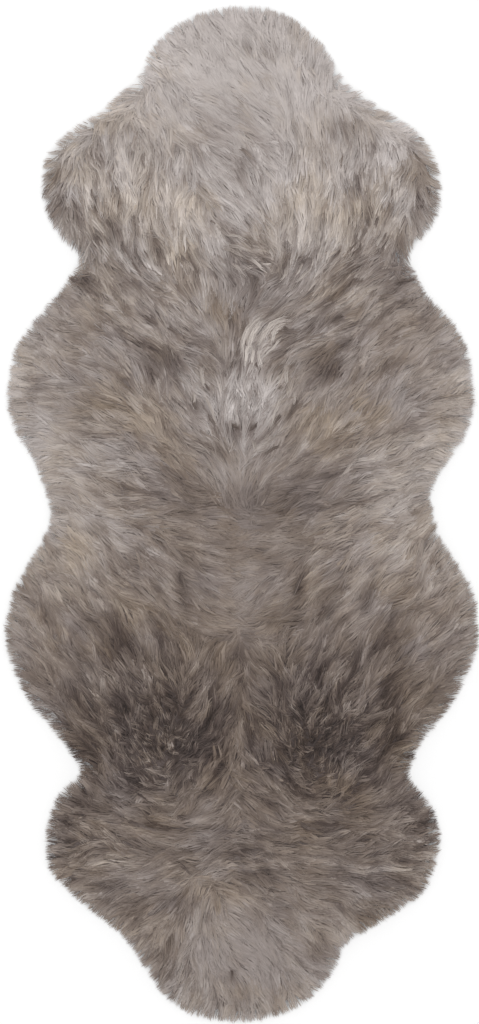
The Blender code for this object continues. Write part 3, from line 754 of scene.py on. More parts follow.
# %% Mottling
TUFT_WIDTH, TUFT_LENGTH = 8 * MM, 38 * MM
MOTTLE_WIDTH, MOTTLE_LENGTH = 14 * MM, 44 * MM
CLOUD_WIDTH, CLOUD_SHARE, STREAK_SHARE = 34 * MM, 0.3, 0.8
WARM_WIDTH, FINE_WARM_WIDTH = 75 * MM, 30 * MM
WARM_SHARE, FINE_WARM_SHARE = 0.8, 0.5
CURL_WIDTH = 6 * MM
# painted shade: the low places of the tufts map are darkened more, as gaps
GAP_PAINTED_SHADE, TUFTS_FLATTER = 1.25, 0.8  # gaps are narrow and dark, tufts broad and pale


def drawn_out(values, length):
    """Draws the lumps of a map out along the lie of the wool."""
    total = values.copy()
    for way in (1, -1):
        x, y = cell_x, cell_y
        for _ in range(round(length / STEP / 2)):
            along_x, along_y = look_up(lie_x, x, y), look_up(lie_y, x, y)
            x, y = x + way * STEP * along_x, y + way * STEP * along_y
            total += look_up(values, x, y)
    return evened(total)


streaked = drawn_out(noise_map(MOTTLE_WIDTH, 2), MOTTLE_LENGTH)
mottle = CLOUD_SHARE * noise_map(CLOUD_WIDTH, 1) + STREAK_SHARE * streaked
warm_patches = WARM_SHARE * noise_map(WARM_WIDTH, 3)
warm_patches = warm_patches + FINE_WARM_SHARE * noise_map(FINE_WARM_WIDTH, 4)
# the tufts map: tufts, and painted shade in the gaps between them
tufts = drawn_out(noise_map(TUFT_WIDTH, 5), TUFT_LENGTH)
tufts = tufts * (1 - tangled) + noise_map(CURL_WIDTH, 6) * tangled
tufts = np.where(tufts < 0, GAP_PAINTED_SHADE * tufts, TUFTS_FLATTER * tufts)
print("mottling spreads", round(mottle.std(), 2), "and tufts", round(tufts.std(), 2))

# %% [markdown]
# ## One strand
#
# Wool is seen in strands: some hundred fibres that cling together and taper to one tip. A
# strand is modelled once, as a three-sided spindle whose root end is buried and whose tip
# is free. It is a ball with three sides and two rings, to be drawn out long: 12 triangles.
# The deep wool, which shows only between the others, makes do with one ring and 6. The few
# curled locks get more rings, so that they can bend.

# %% The strands that every other one copies
StrandModel = namedtuple("StrandModel", "rings girths ring_of across up faces tiles")
FLATNESS = 0.2  # height of a strand against its width
TILE_MARGIN_X, TILE_MARGIN_Y = 0.06, 0.04  # shares of a strand's tile left free


def ring_numbers(bm):
    """Which ring of a ball each of its points is on, counted from the bottom."""
    heights = [round(vert.co.z, 4) for vert in bm.verts]
    levels = sorted(set(heights))
    return [levels.index(height) for height in heights]


def model_strand(rings, girths):
    """Takes the shares of the length where rings lie, and the girth at each."""
    bm = bmesh.new()
    bmesh.ops.create_uvsphere(bm, u_segments=3, v_segments=len(rings) - 1, radius=1)
    bmesh.ops.recalc_face_normals(bm, faces=bm.faces)
    bm.verts.index_update()
    ring_of = ring_numbers(bm)
    across, up, column = [], [], []
    for vert, ring in zip(bm.verts, ring_of):
        at_end = ring in (0, len(rings) - 1)
        away = 1.0 if at_end else math.hypot(vert.co.x, vert.co.y)
        turn = math.atan2(vert.co.y, vert.co.x) / math.tau
        across.append(0.0 if at_end else -vert.co.y / away)
        up.append(0.0 if at_end else vert.co.x / away)
        column.append(None if at_end else round(turn * 3) % 3)
    faces = [[vert.index for vert in face.verts] for face in bm.faces]
    heights = [rings[ring] for ring in ring_of]
    tiles = [unroll(face, column, heights) for face in faces]
    bm.free()
    return StrandModel(
        np.array(rings), np.array(girths), np.array(ring_of), np.array(across), np.array(up),
        faces, tiles,
    )


def unroll(face, column, heights):
    """Lays one face on a tile whose width goes round the strand and its height along."""
    sides = sorted({column[index] for index in face if column[index] is not None})
    closes = sides == [0, 2]
    placed = []
    for index in face:
        side = column[index]
        if side is None:
            side = 2.5 if closes else sum(sides) / 2
        elif closes and side == 0:
            side = 3
        x = TILE_MARGIN_X + (1 - 2 * TILE_MARGIN_X) * side / 3
        placed.append((x, TILE_MARGIN_Y + (1 - 2 * TILE_MARGIN_Y) * heights[index]))
    return placed


SLENDER = model_strand(rings=(0.0, 0.34, 0.72, 1.0), girths=(0.0, 1.0, 0.74, 0.0))
BROAD = model_strand(rings=(0.0, 0.48, 1.0), girths=(0.0, 1.0, 0.0))
CURLED = model_strand(
    rings=(0.0, 0.16, 0.34, 0.52, 0.7, 0.87, 1.0),
    girths=(0.0, 0.8, 1.0, 1.0, 0.85, 0.55, 0.0),
)
for model in (SLENDER, BROAD, CURLED):
    print("a strand has", sum(len(face) - 2 for face in model.faces), "triangles")

# %% [markdown]
# ## Locks
#
# Strands lie in locks. A lock starts from one root, follows the lie of the wool, bends a
# little, and its strands run together at the tip. So the locks are laid out first, each as
# a short path over the maps, and the strands are then shared out among them. The rug wears
# four coats of them. The table gives their sizes in mm.

# %% The coats
WHOLE_RUG = (1, 1000)

Coat = namedtuple(
    "Coat",
    "name strand band back spacing per_lock width length uneven stray bend sway "
    "radius gather sunk rise lift past splay seed",
)
# strand: the model that it copies; band: how far in from the slab's rim its roots lie
# back: share of its length that a lock starts behind its place, so that partings close
# spacing: between locks; per_lock: strands in each; width: of a strand; length: of a lock
# uneven: spread of the lengths; stray, bend: degrees that a lock turns off the comb's way
# sway: of its waves; radius: of a lock at the root; gather: share that it closes in
# sunk: depth of the root; rise: height of the arch; lift: unevenness of that height
# past: shares of the 21 mm past the rim where tips end; splay: share turned to the rim
COATS = [
    Coat("deep_wool", BROAD, WHOLE_RUG, 0.3, 17, 6, 4.6, 52, 0.2, 7, 10, 0.8,
         11, 0.4, 1.5, 1.6, 0.4, (0.45, 0.9), 0, 7),
    Coat("main_locks", SLENDER, WHOLE_RUG, 0.35, 18.5, 12, 1.9, 60, 0.25, 5, 14, 2.2,
         11.5, 0.7, 1.5, 2.2, 0.4, (0.7, 1.0), 0, 19),
    Coat("stray_wool", SLENDER, WHOLE_RUG, 0.35, 23, 5, 1.3, 50, 0.35, 11, 20, 2.0,
         13, 0.3, 1, 2.6, 0.4, (0.75, 1.1), 0, 31),
    Coat("rim_wool", SLENDER, (-9, 20), 0, 10, 5, 1.7, 34, 0.25, 9, 12, 0.8,
         7, 0.45, 2, 1.6, 0.5, (0.9, 1.12), 0.3, 43),
]
print("coats of wool:", ", ".join(coat.name for coat in COATS))

# %% [markdown]
# ## Locks along the comb
#
# The roots stand in staggered rows, made uneven by dice. From its root a lock takes six
# short steps, each the way that the wool lies there, and it keeps some of its way from one
# step to the next, as springy wool does. It reads the lie a little beside itself, so that
# neighbours cross where the comb was unsure.

# %% Comb the locks
PATH_STEPS = 6
KEEPS_ON = 0.45  # share of its way that a lock keeps from one step to the next
ROWS_CLOSER = math.sqrt(0.75)  # as in a grid of equal triangles
JITTER = 0.42  # of the locks' spacing
TANGLED_SHORTER = 0.6  # share that a fully tangled lock is shorter
TANGLED_STRAY, TANGLED_BEND = 22, 60  # degrees more
READ_ASIDE, READ_FURTHER_ASIDE = 4 * MM, 16 * MM  # where the comb was firm, and unsure
UNSURE_FROM, UNSURE_STEEP = 1.3, 1.5
BENDS_ABOUT = 0.4  # share of its path where a lock still points the comb's way


def scatter(spacing, band, dice):
    """Staggered, uneven rows of places whose distance inside the rim lies in the band."""
    rows = np.arange(-HALF_GRID[1], HALF_GRID[1], spacing * ROWS_CLOSER)
    columns = np.arange(-HALF_GRID[0], HALF_GRID[0], spacing)
    x, y = np.meshgrid(columns, rows)
    x = x + (np.arange(len(rows)) % 2)[:, None] * spacing / 2
    x = (x + dice.uniform(-JITTER, JITTER, x.shape) * spacing).ravel()
    y = (y + dice.uniform(-JITTER, JITTER, y.shape) * spacing).ravel()
    depth = look_up(inside_by, x, y)
    keep = (depth > band[0] * MM) & (depth < band[1] * MM)
    return x[keep], y[keep]


def comb_locks(coat, x, y, dice):
    """Leads each lock from its root along the lie of the wool, as (lock, step, axis)."""
    count = len(x)
    tangle = look_up(tangled, x, y)
    length = coat.length * MM * dice.uniform(1 - coat.uneven, 1 + coat.uneven, count)
    length *= 1 - TANGLED_SHORTER * tangle
    stray = np.radians(coat.stray + TANGLED_STRAY * tangle) * dice.normal(0, 1, count)
    bend = np.radians(coat.bend + TANGLED_BEND * tangle) * dice.normal(0, 1, count)
    unsure = np.clip(UNSURE_FROM - UNSURE_STEEP * look_up(firmness, x, y), 0, 1)
    aside = READ_ASIDE + READ_FURTHER_ASIDE * unsure
    aside_x, aside_y = dice.normal(0, 1, (2, count)) * aside
    path = np.zeros((count, PATH_STEPS + 1, 2))
    way = np.zeros((2, count))
    for step in range(PATH_STEPS):
        if step == 0:
            at_x, at_y = x, y
        out = np.stack([look_up(outward_x, at_x, at_y), look_up(outward_y, at_x, at_y)])
        read_x, read_y = at_x + aside_x, at_y + aside_y
        go = np.stack([look_up(lie_x, read_x, read_y), look_up(lie_y, read_x, read_y)])
        go = go * (1 - coat.splay) + out * coat.splay
        go = np.where((go * way).sum(0) < 0, way, go)
        way = go * (1 - KEEPS_ON) + way * KEEPS_ON
        way /= np.hypot(*way) + TINY
        turn = np.arctan2(way[1], way[0]) + stray
        turn = turn + bend * (step / PATH_STEPS - BENDS_ABOUT)
        if step == 0:
            at_x = x - np.cos(turn) * length * coat.back
            at_y = y - np.sin(turn) * length * coat.back
            path[:, 0] = np.column_stack([at_x, at_y])
        at_x = at_x + np.cos(turn) * length / PATH_STEPS
        at_y = at_y + np.sin(turn) * length / PATH_STEPS
        path[:, step + 1] = np.column_stack([at_x, at_y])
    return path, length, tangle


def lay_locks(coat, dice):
    """Paths of a coat's locks, and what sets each lock apart."""
    x, y = scatter(coat.spacing * MM, coat.band, dice)
    count = len(x)
    path, length, tangle = comb_locks(coat, x, y, dice)
    bold = look_up(boldness, x, y)
    return {
        "path": path,
        "length": length,
        "tangle": tangle,
        "bold": bold,
        "sway": coat.sway * MM * dice.normal(0, 1, count),
        "phase": dice.uniform(0, math.tau, count),
        "lift": coat.lift * MM * dice.normal(0, 1, count) * bold,
        "shade": dice.normal(0, 1, count) * bold,
        "warmth": dice.normal(0, 1, count),
    }


print("a lock takes", PATH_STEPS, "steps and keeps", KEEPS_ON, "of its way at each")

# %% [markdown]
# ## Strands from locks
#
# Each strand takes its lock's path and keeps to its own side of it. The roots fill the
# round of the lock evenly, which the square root of an even draw does. Past the rim a
# strand is cut short where it would reach past the outline.

# %% Share the strands out
SHORTEST_REACH = 0.3  # a strand cut shorter than this share of its way is left out
FULL_REACH = (0.82, 1.0)
TANGLED_THINNER = 0.3  # share that tangled locks and their strands are thinner


def along_path(path, share):
    """Places at shares of the way along each path."""
    step = np.clip(share * PATH_STEPS, 0, PATH_STEPS - SLIGHT)
    index = step.astype(int)
    part = (step - index)[:, :, None]
    rows = np.arange(len(path))[:, None]
    return path[rows, index] * (1 - part) + path[rows, index + 1] * part


def reach_allowed(path, past, dice):
    """Share of its path that each strand may follow before it passes the outline."""
    limit = -WOOL_PAST_RIM * dice.uniform(*past, len(path))
    depth = look_up(inside_by, path[:, :, 0], path[:, :, 1])
    over = depth < limit[:, None]
    first = np.where(over.any(1), over.argmax(1), PATH_STEPS)
    rows = np.arange(len(path))
    before = depth[rows, np.maximum(first - 1, 0)]
    after = depth[rows, first]
    part = np.clip((before - limit) / np.maximum(before - after, SLIGHT), 0, 1)
    return np.where(over.any(1), np.clip((first - 1 + part) / PATH_STEPS, 0, 1), 1.0)


def share_out_strands(coat, dice):
    """What each strand takes from its lock, and where it lies in it."""
    locks = lay_locks(coat, dice)
    which = np.repeat(np.arange(len(locks["length"])), coat.per_lock)
    from_middle = np.sqrt(dice.uniform(0, 1, len(which)))
    around = dice.uniform(0, math.tau, len(which))
    off = np.stack([np.cos(around), np.sin(around)], axis=1) * from_middle[:, None]
    off *= coat.radius * MM * (1 - TANGLED_THINNER * locks["tangle"][which])[:, None]
    path = locks.pop("path")[which] + off[:, None, :]
    cut = reach_allowed(path, coat.past, dice)
    reach = np.where(cut < 1, cut, dice.uniform(*FULL_REACH, len(which)))
    keep = reach > SHORTEST_REACH
    strands = {key: values[which[keep]] for key, values in locks.items()}
    own = {"path": path, "reach": reach, "off": off, "from_middle": from_middle}
    return strands | {key: values[keep] for key, values in own.items()}


print("strands follow", FULL_REACH[0], "to", FULL_REACH[1], "of their lock's path")

# %% [markdown]
# ## Waves
#
# Wool is crimped, so a strand sways to and fro along its lock, and it closes in on the lock
# towards the tip. The strands of a lock sway nearly together, and that makes them read as
# one lock. In tangled wool they lose step and stay apart.

# %% Lead the strands
TANGLED_LOOSER = 0.75  # share that tangled locks close in less
CLOSES_LATE = 1.3
WAVE_LENGTH = 46 * MM
PHASE_VARIES, TANGLED_PHASE = 0.45, 4


def directions_beside(middle):
    """Directions at right angles to centre lines, as seen from above."""
    ahead = np.gradient(middle, axis=1)
    ahead /= np.linalg.norm(ahead, axis=2, keepdims=True) + TINY
    return np.stack([-ahead[:, :, 1], ahead[:, :, 0]], axis=2)


def lead_strands(coat, strands, dice):
    """Centre lines as seen from above, and the directions beside them."""
    rings, tangle = coat.strand.rings[None, :], strands["tangle"]
    share = strands["reach"][:, None] * rings
    middle = along_path(strands["path"], share)
    gather = coat.gather * (1 - TANGLED_LOOSER * tangle)[:, None]
    middle -= strands["off"][:, None, :] * (gather * rings**CLOSES_LATE)[:, :, None]
    beside = directions_beside(middle)
    travelled = share * strands["length"][:, None]
    varied = dice.normal(0, PHASE_VARIES, len(tangle)) * (1 + TANGLED_PHASE * tangle)
    phase = strands["phase"] + varied
    wave = np.sin(travelled / WAVE_LENGTH * math.tau + phase[:, None])
    sway = (strands["sway"] * (1 + tangle))[:, None]
    middle += beside * (sway * wave * rings)[:, :, None]
    return middle, beside


print("a strand's waves are", round(WAVE_LENGTH / MM), "mm long")

# %% [markdown]
# ## Height of the strands
#
# A strand rises out of the deep wool, arches over its neighbours, highest before its
# middle, and comes to rest with its tip on the next lock. Those at the middle of a lock
# stand highest. Where the wool is low, at the rim, it has less room to rise, and past the
# rim it comes down to the floor.

# %% Raise the strands
ARCH_SHORTER = 1.15  # the arch is this many times shorter than its strand
LOCK_CROWN, STRAND_LIFT = 0.5, 0.3  # mm
SMOOTH_ARCH = 0.4  # share of the arch that brushed wool keeps
DEEP_WOOL = 20 * MM  # wool this high has its full unevenness
WIDTH_VARIES = (0.75, 1.3)
HALF_HEIGHT, FLOOR_GAP = 0.3, 0.4 * MM  # share of a strand's width, and air under it


def raise_strands(coat, strands, middle, dice):
    """Heights of the centre lines, and the widths of the strands."""
    rings, bold = coat.strand.rings[None, :], strands["bold"]
    ground = look_up(wool_height, middle[:, :, 0], middle[:, :, 1])
    arch = np.sin(np.clip(rings * ARCH_SHORTER, 0, 1) * math.pi) * coat.rise * MM
    crown = (1 - strands["from_middle"] ** 2) * LOCK_CROWN * MM
    own_lift = dice.normal(0, STRAND_LIFT, len(bold)) * MM
    uneven = strands["lift"] + (crown + own_lift) * bold
    kept = SMOOTH_ARCH + (1 - SMOOTH_ARCH) * bold[:, None]
    level = ground + arch * kept - coat.sunk * MM * (1 - rings) ** 2
    level += uneven[:, None] * np.minimum(1, ground / DEEP_WOOL)
    width = coat.width * MM * dice.uniform(*WIDTH_VARIES, len(bold))
    width = width * (1 - TANGLED_THINNER * strands["tangle"])
    return np.maximum(level, width[:, None] * HALF_HEIGHT + FLOOR_GAP), width


print("coats arch by", ", ".join(f"{coat.rise} mm" for coat in COATS))

# %% [markdown]
# ## Shade of the strands
#
# Wool is bleached pale at the tip and stays darker at the root, and the root is darkened more
# as painted shade where the next tip lies on it. A strand's shade is that of the place, and on
# top of that come the mottling, what its lock and the strand itself bring along, painted light
# and shade across its lock, the tufts with painted shade in the gaps between them, and the
# bleach and painted root shade that grow along it.

# %% Shade the strands
# bleach and painted shade: tips paler, roots darker where the next tip lies on them
TIP_LIGHTER = 0.13
LOCK_VARIES, STRAND_VARIES, MOTTLE_VARIES, TUFT_VARIES = 0.016, 0.01, 0.042, 0.07
SMOOTH_VARIES = 0.3  # share of a strand's own shade that brushed wool keeps
# painted light and shade across a lock: its middle strands paler, its edges darker
LOCK_EDGE_PAINTED_SHADE = 0.05
TANGLED_BOLDER = 2
PLAIN_WARMTH, WARM_PATCHES, YELLOWED_PATCHES = 0.22, 0.25, 0.5
LOCK_WARMTH, STRAND_WARMTH = 0.05, 0.03


def shade_strands(coat, strands, middle, dice):
    """Shades along the strands, and their warmth."""
    rings, bold = coat.strand.rings[None, :], strands["bold"]
    root_x, root_y = middle[:, 0, 0], middle[:, 0, 1]
    own_shade = STRAND_VARIES * (SMOOTH_VARIES + (1 - SMOOTH_VARIES) * bold)
    tone = MOTTLE_VARIES * look_up(mottle, root_x, root_y) * bold
    tone += LOCK_VARIES * strands["shade"]
    tone += own_shade * dice.normal(0, 1, len(bold))
    tone += LOCK_EDGE_PAINTED_SHADE * (0.5 - strands["from_middle"] ** 2) * bold
    # bleached tips, and painted shade at the roots under the next lock's tips
    bleach_and_painted_root_shade = TIP_LIGHTER * bold[:, None] * (rings - 0.5)
    # tufts, and painted shade in the gaps between them
    tuft_and_gap_shade = TUFT_VARIES * look_up(tufts, middle[:, :, 0], middle[:, :, 1])
    tuft_and_gap_shade *= (bold + TANGLED_BOLDER * strands["tangle"])[:, None]
    shade = look_up(lightness, middle[:, :, 0], middle[:, :, 1])
    shade = shade + tone[:, None] + bleach_and_painted_root_shade + tuft_and_gap_shade
    warmth = PLAIN_WARMTH + WARM_PATCHES * look_up(warm_patches, root_x, root_y)
    warmth += YELLOWED_PATCHES * look_up(yellowness, root_x, root_y)
    warmth += LOCK_WARMTH * strands["warmth"] + STRAND_WARMTH * dice.normal(0, 1, len(bold))
    return shade, np.clip(warmth, 0, 1)


def grow_strands(coat, dice):
    """Centre lines, sideways directions, widths and shades of a coat's strands."""
    strands = share_out_strands(coat, dice)
    middle, beside = lead_strands(coat, strands, dice)
    level, width = raise_strands(coat, strands, middle, dice)
    shade, warmth = shade_strands(coat, strands, middle, dice)
    return {
        "place": np.concatenate([middle, level[:, :, None]], axis=2),
        "beside": beside,
        "width": width,
        "shade": shade,
        "warmth": warmth,
    }


print("tips are bleached by", TIP_LIGHTER, "and tufts differ by", TUFT_VARIES)

# %% [markdown]
# ## Strands of the single locks
#
# The locks placed one by one are bent as a bow over their three points, and their strands run
# beside it, waved a little by the wool's own crimp. They lie on top of the coats.

# %% Strands of the single locks
SINGLE_LOCK_STRAND = 1.3 * MM
CRIMP, CRIMP_LENGTH = 0.8 * MM, 24 * MM
BOW_LENGTHS = (0.75, 1.05)  # shares of the bow that its strands follow
BOW_CLOSES = 0.45  # share that they close in towards the tip
BOW_SHADE_VARIES, BOW_TIP_LIGHTER, BOW_PHASE_VARIES = 0.035, 0.12, 0.4
BOW_PALE_FROM = 0.6  # share of the strand
BOW_ARCH = 2.0 * MM
BOW_LIFT = (0.2, 1.6)  # mm above the wool
BOW_WIDTH_VARIES = (0.7, 1.2)


def place_single_locks(dice):
    """The locks that are placed by hand, as strands like those of a coat."""
    rings = CURLED.rings[None, :, None]
    middles, shades, phases = [], [], []
    for lock in SINGLE_LOCKS:
        for places in both_sides(lock):
            root, middle, tip = [np.array(from_photo(*place)) for place in places]
            around = dice.uniform(0, math.tau, lock.strands)
            off = np.stack([np.cos(around), np.sin(around)], axis=1)
            off *= lock.spread * MM_PER_POINT * MM * dice.uniform(0, 1, (lock.strands, 1))
            part = rings * dice.uniform(*BOW_LENGTHS, (lock.strands, 1, 1))
            bow = (1 - part) ** 2 * root + 2 * part * (1 - part) * middle + part**2 * tip
            middles.append(bow + off[:, None, :] * (1 - BOW_CLOSES * rings))
            tone = lock.lightness + dice.normal(0, BOW_SHADE_VARIES, (lock.strands, 1))
            shades.append(tone + BOW_TIP_LIGHTER * (CURLED.rings[None, :] - BOW_PALE_FROM))
            varied = dice.uniform(0, math.tau)
            phases.append(varied + dice.normal(0, BOW_PHASE_VARIES, lock.strands))
    middle, shade, phase = map(np.concatenate, (middles, shades, phases))
    count = len(middle)
    beside = directions_beside(middle)
    length = np.linalg.norm(np.diff(middle, axis=1), axis=2).sum(1)
    wave = np.sin(CURLED.rings * length[:, None] / CRIMP_LENGTH * math.tau + phase[:, None])
    middle = middle + beside * (CRIMP * wave)[:, :, None]
    level = look_up(wool_height, middle[:, :, 0], middle[:, :, 1])
    arch = np.sin(CURLED.rings * math.pi)[None, :] * BOW_ARCH
    level = level + arch + dice.uniform(*BOW_LIFT, (count, 1)) * MM
    return {
        "place": np.concatenate([middle, level[:, :, None]], axis=2),
        "beside": beside,
        "width": SINGLE_LOCK_STRAND * dice.uniform(*BOW_WIDTH_VARIES, count),
        "shade": shade,
        "warmth": np.full(count, PLAIN_WARMTH),
    }


print("strands of the single locks are", SINGLE_LOCK_STRAND / MM, "mm wide")

# %% [markdown]
# ## Strands into meshes
#
# Tens of thousands of strands become a few meshes. Each point of the one modelled strand is
# moved to its place along every centre line at once, and the faces are those of the model,
# over and over.

# %% Join copies of a strand
def mesh_from_arrays(name, points, model, copies):
    """A mesh of many copies of the modelled strand's faces."""
    sizes = np.tile([len(face) for face in model.faces], copies)
    corners = np.concatenate(model.faces)
    shift = np.arange(copies)[:, None] * len(model.ring_of)
    corner_points = (corners[None, :] + shift).ravel()
    starts = np.concatenate([[0], np.cumsum(sizes)[:-1]])
    mesh = bpy.data.meshes.new(name)
    mesh.vertices.add(len(points))
    mesh.vertices.foreach_set("co", points.astype(np.float32).ravel())
    mesh.loops.add(len(corner_points))
    mesh.loops.foreach_set("vertex_index", corner_points.astype(np.int32))
    mesh.polygons.add(len(starts))
    mesh.polygons.foreach_set("loop_start", starts.astype(np.int32))
    mesh.update(calc_edges=True)
    mesh.shade_smooth()
    return mesh


def crease_undersides(mesh, model):
    """Sharp edges round each strand's underside, so that its top is lit as one soft round."""
    ends = np.empty(2 * len(mesh.edges), np.int32)
    mesh.edges.foreach_get("vertices", ends)
    on_top = (model.up > 0.5)[ends.reshape(-1, 2) % len(model.ring_of)]
    sharp = mesh.attributes.new("sharp_edge", "BOOLEAN", "EDGE")
    sharp.data.foreach_set("value", ~on_top.any(axis=1))


print("points of a strand:", ", ".join(str(len(m.ring_of)) for m in (SLENDER, BROAD, CURLED)))

# %% [markdown]
# ## What each strand brings along
#
# The strand's shade and warmth go along as attributes. One UV map gives each strand a tile
# of its own. The other one is in metres round and along the strand, and the streaks of the
# wool follow it.

# %% Build a mesh of strands
OFF_FLOOR = 0.2 * MM
TILE_STRETCH = 3.2  # columns of tiles for each row, as strands are long and narrow
GIRTH = 2.6  # way round a flat strand for each width
STREAKS_APART = (0.013, 0.007)  # metres, so that no two strands have the same streaks


def add_uv_maps(mesh, model, widths, lengths):
    """One tile for each strand, and metres round and along it."""
    copies = len(widths)
    columns = math.ceil(math.sqrt(copies * TILE_STRETCH))
    rows = math.ceil(copies / columns)
    tile = np.concatenate(model.tiles)
    index = np.arange(copies)[:, None]
    x = (index % columns + tile[None, :, 0]) / columns
    y = (index // columns + tile[None, :, 1]) / rows
    tiles = mesh.uv_layers.new(name="OFBake")
    tiles.data.foreach_set("uv", np.stack([x, y], axis=2).astype(np.float32).ravel())
    around = tile[None, :, 0] * widths[:, None] * GIRTH + index * STREAKS_APART[0]
    along = tile[None, :, 1] * lengths[:, None] + index * STREAKS_APART[1]
    metres = mesh.uv_layers.new(name="Metres")
    metres.data.foreach_set("uv", np.stack([around, along], axis=2).astype(np.float32).ravel())


def wool_mesh(name, model, strands, chosen):
    """One mesh of the chosen strands."""
    rings = model.ring_of
    half = strands["width"][chosen][:, None] / 2 * model.girths[rings][None, :]
    points = strands["place"][chosen][:, rings].copy()
    beside = strands["beside"][chosen][:, rings]
    points[:, :, :2] += beside * (half * model.across[None, :])[:, :, None]
    points[:, :, 2] += half * model.up[None, :] * FLATNESS
    points[:, :, 2] = np.maximum(points[:, :, 2], OFF_FLOOR)
    mesh = mesh_from_arrays(name, points.reshape(-1, 3), model, len(chosen))
    crease_undersides(mesh, model)
    shade = mesh.attributes.new("shade", "FLOAT", "POINT")
    shade.data.foreach_set("value", strands["shade"][chosen][:, rings].ravel())
    warmth = mesh.attributes.new("warmth", "FLOAT", "POINT")
    warmth.data.foreach_set("value", np.repeat(strands["warmth"][chosen], len(rings)))
    ends = strands["place"][chosen][:, -1] - strands["place"][chosen][:, 0]
    add_uv_maps(mesh, model, strands["width"][chosen], np.linalg.norm(ends, axis=1))
    return mesh


print("the way round a strand is", GIRTH, "times its width")

# %% [markdown]
# ## The colours of the wool
#
# The wool's colour runs from the brown-grey of the roots to bleached tips. One ramp holds
# these colours, from dark to pale, and a shade that each mesh brings along as an attribute
# picks from it. The strands and the mats of roots share the ramp, so they always match.

# %% Colours of the wool
ColourStop = namedtuple("ColourStop", "shade colour")
WOOL_COLOURS = as_records(ColourStop, [
    (0.12, "#2b2423"), (0.28, "#544946"), (0.42, "#7f746f"), (0.54, "#a59c98"),
    (0.66, "#c7bfbc"), (0.80, "#e5dfdc"), (0.95, "#f7f3f2"),
])


def colour_by_shade(material, unevenness, amount):
    """Colour ramp of the wool, driven by the shade attribute and a little unevenness."""
    shade = add_node(material, "ShaderNodeAttribute", attribute_name="shade")
    centred = add_node(
        material, "ShaderNodeMath", {0: unevenness, 1: amount, 2: -amount / 2},
        operation="MULTIPLY_ADD",
    )
    together = add_node(
        material, "ShaderNodeMath", {0: shade.outputs["Fac"], 1: centred.outputs[0]}
    )
    ramp = add_node(material, "ShaderNodeValToRGB", {"Fac": together.outputs[0]})
    stops = ramp.color_ramp.elements
    while len(stops) < len(WOOL_COLOURS):
        stops.new(0.5)
    for stop, wanted in zip(stops, WOOL_COLOURS):
        stop.position = wanted.shade
        stop.color = hex_colour(wanted.colour)
    return ramp.outputs["Color"]


print("the wool has", len(WOOL_COLOURS), "colours from root to tip")

# %% [markdown]
# ## The finish of the wool
#
# Dyed sheep's wool is a fine keratin fibre with a scaly skin, so it is soft and nearly
# matt, with a faint sheen where light grazes it. Some locks are yellower than others. The
# fibres are about 0.03 mm thick, too fine to show, so each strand has streaks of about
# 0.4 mm along it instead.

# %% Wool material
YELLOWED = "#f1e3c8"
STREAK_WIDTH, STREAK_LENGTH = 0.4 * MM, 14 * MM


def add_bump(material, pattern, strength, distance):
    """Lets a pattern of light and dark stand out as fine relief."""
    bump = add_node(
        material, "ShaderNodeBump",
        {"Height": pattern.outputs["Fac"], "Strength": strength, "Distance": distance},
    )
    shader = material.node_tree.nodes["Principled BSDF"]
    material.node_tree.links.new(bump.outputs["Normal"], shader.inputs["Normal"])


def wool_material():
    wool, shader = new_material("dyed_sheeps_wool")
    metres = add_node(wool, "ShaderNodeUVMap", uv_map="Metres")
    stretch = add_node(
        wool, "ShaderNodeMapping",
        {"Vector": metres.outputs["UV"], "Scale": (1 / STREAK_WIDTH, 1 / STREAK_LENGTH, 1)},
    )
    streaks = add_node(
        wool, "ShaderNodeTexNoise",
        {"Vector": stretch.outputs["Vector"], "Scale": 1.0, "Detail": 1.0},
        noise_dimensions="2D",
    )
    colour = colour_by_shade(wool, streaks.outputs["Fac"], amount=0.07)
    warmth = add_node(wool, "ShaderNodeAttribute", attribute_name="warmth")
    # inputs 6 and 7 and output 2 of a Mix node are its two colours and their mix
    yellowed = add_node(
        wool, "ShaderNodeMix",
        {0: warmth.outputs["Fac"], 6: colour, 7: hex_colour(YELLOWED)},
        data_type="RGBA", blend_type="MULTIPLY",
    )
    add_bump(wool, streaks, strength=0.3, distance=0.2 * MM)
    wool.node_tree.links.new(yellowed.outputs[2], shader.inputs["Base Color"])
    shader.inputs["Roughness"].default_value = 0.75
    shader.inputs["IOR"].default_value = 1.55
    shader.inputs["Specular IOR Level"].default_value = 0.2
    shader.inputs["Sheen Weight"].default_value = 0.15
    shader.inputs["Sheen Roughness"].default_value = 0.5
    shader.inputs["Sheen Tint"].default_value = hex_colour("#efe9e6")
    return wool


wool = wool_material()
print("material:", wool.name)

# %% [markdown]
# ## The four coats of wool
#
# The deep wool fills the rug, so that no gap shows between locks. The main locks lie over
# it and make the look of the fleece. Stray wool lies on top and softens it. The rim wool is
# a dense short fringe that gives the rug its clean outline. Each coat is parted at the
# waist between the two pelts, and again across a pelt where a mesh would grow too big.

# %% Grow and build the coats
MOST_TRIANGLES = 190_000


def build_pieces(name, model, strands):
    """The strands as one mesh for each stretch of the rug."""
    each = sum(len(face) - 2 for face in model.faces)
    along = strands["place"][:, 0, 1]
    made = []
    for pelt, side in (("front", along >= SEAM_Y), ("back", along < SEAM_Y)):
        members = np.flatnonzero(side)
        members = members[np.argsort(along[members], kind="stable")]
        parts = math.ceil(len(members) * each / MOST_TRIANGLES)
        for number, chosen in enumerate(np.array_split(members, parts), 1):
            title = f"{name}_{pelt}_{number}"
            mesh = wool_mesh(title, model, strands, chosen)
            mesh.materials.append(wool)
            piece = put_in_scene(title, mesh)
            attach(piece, "root")
            made.append(piece)
            print(f"{title}: {len(chosen)} strands, {len(chosen) * each} triangles")
    return made


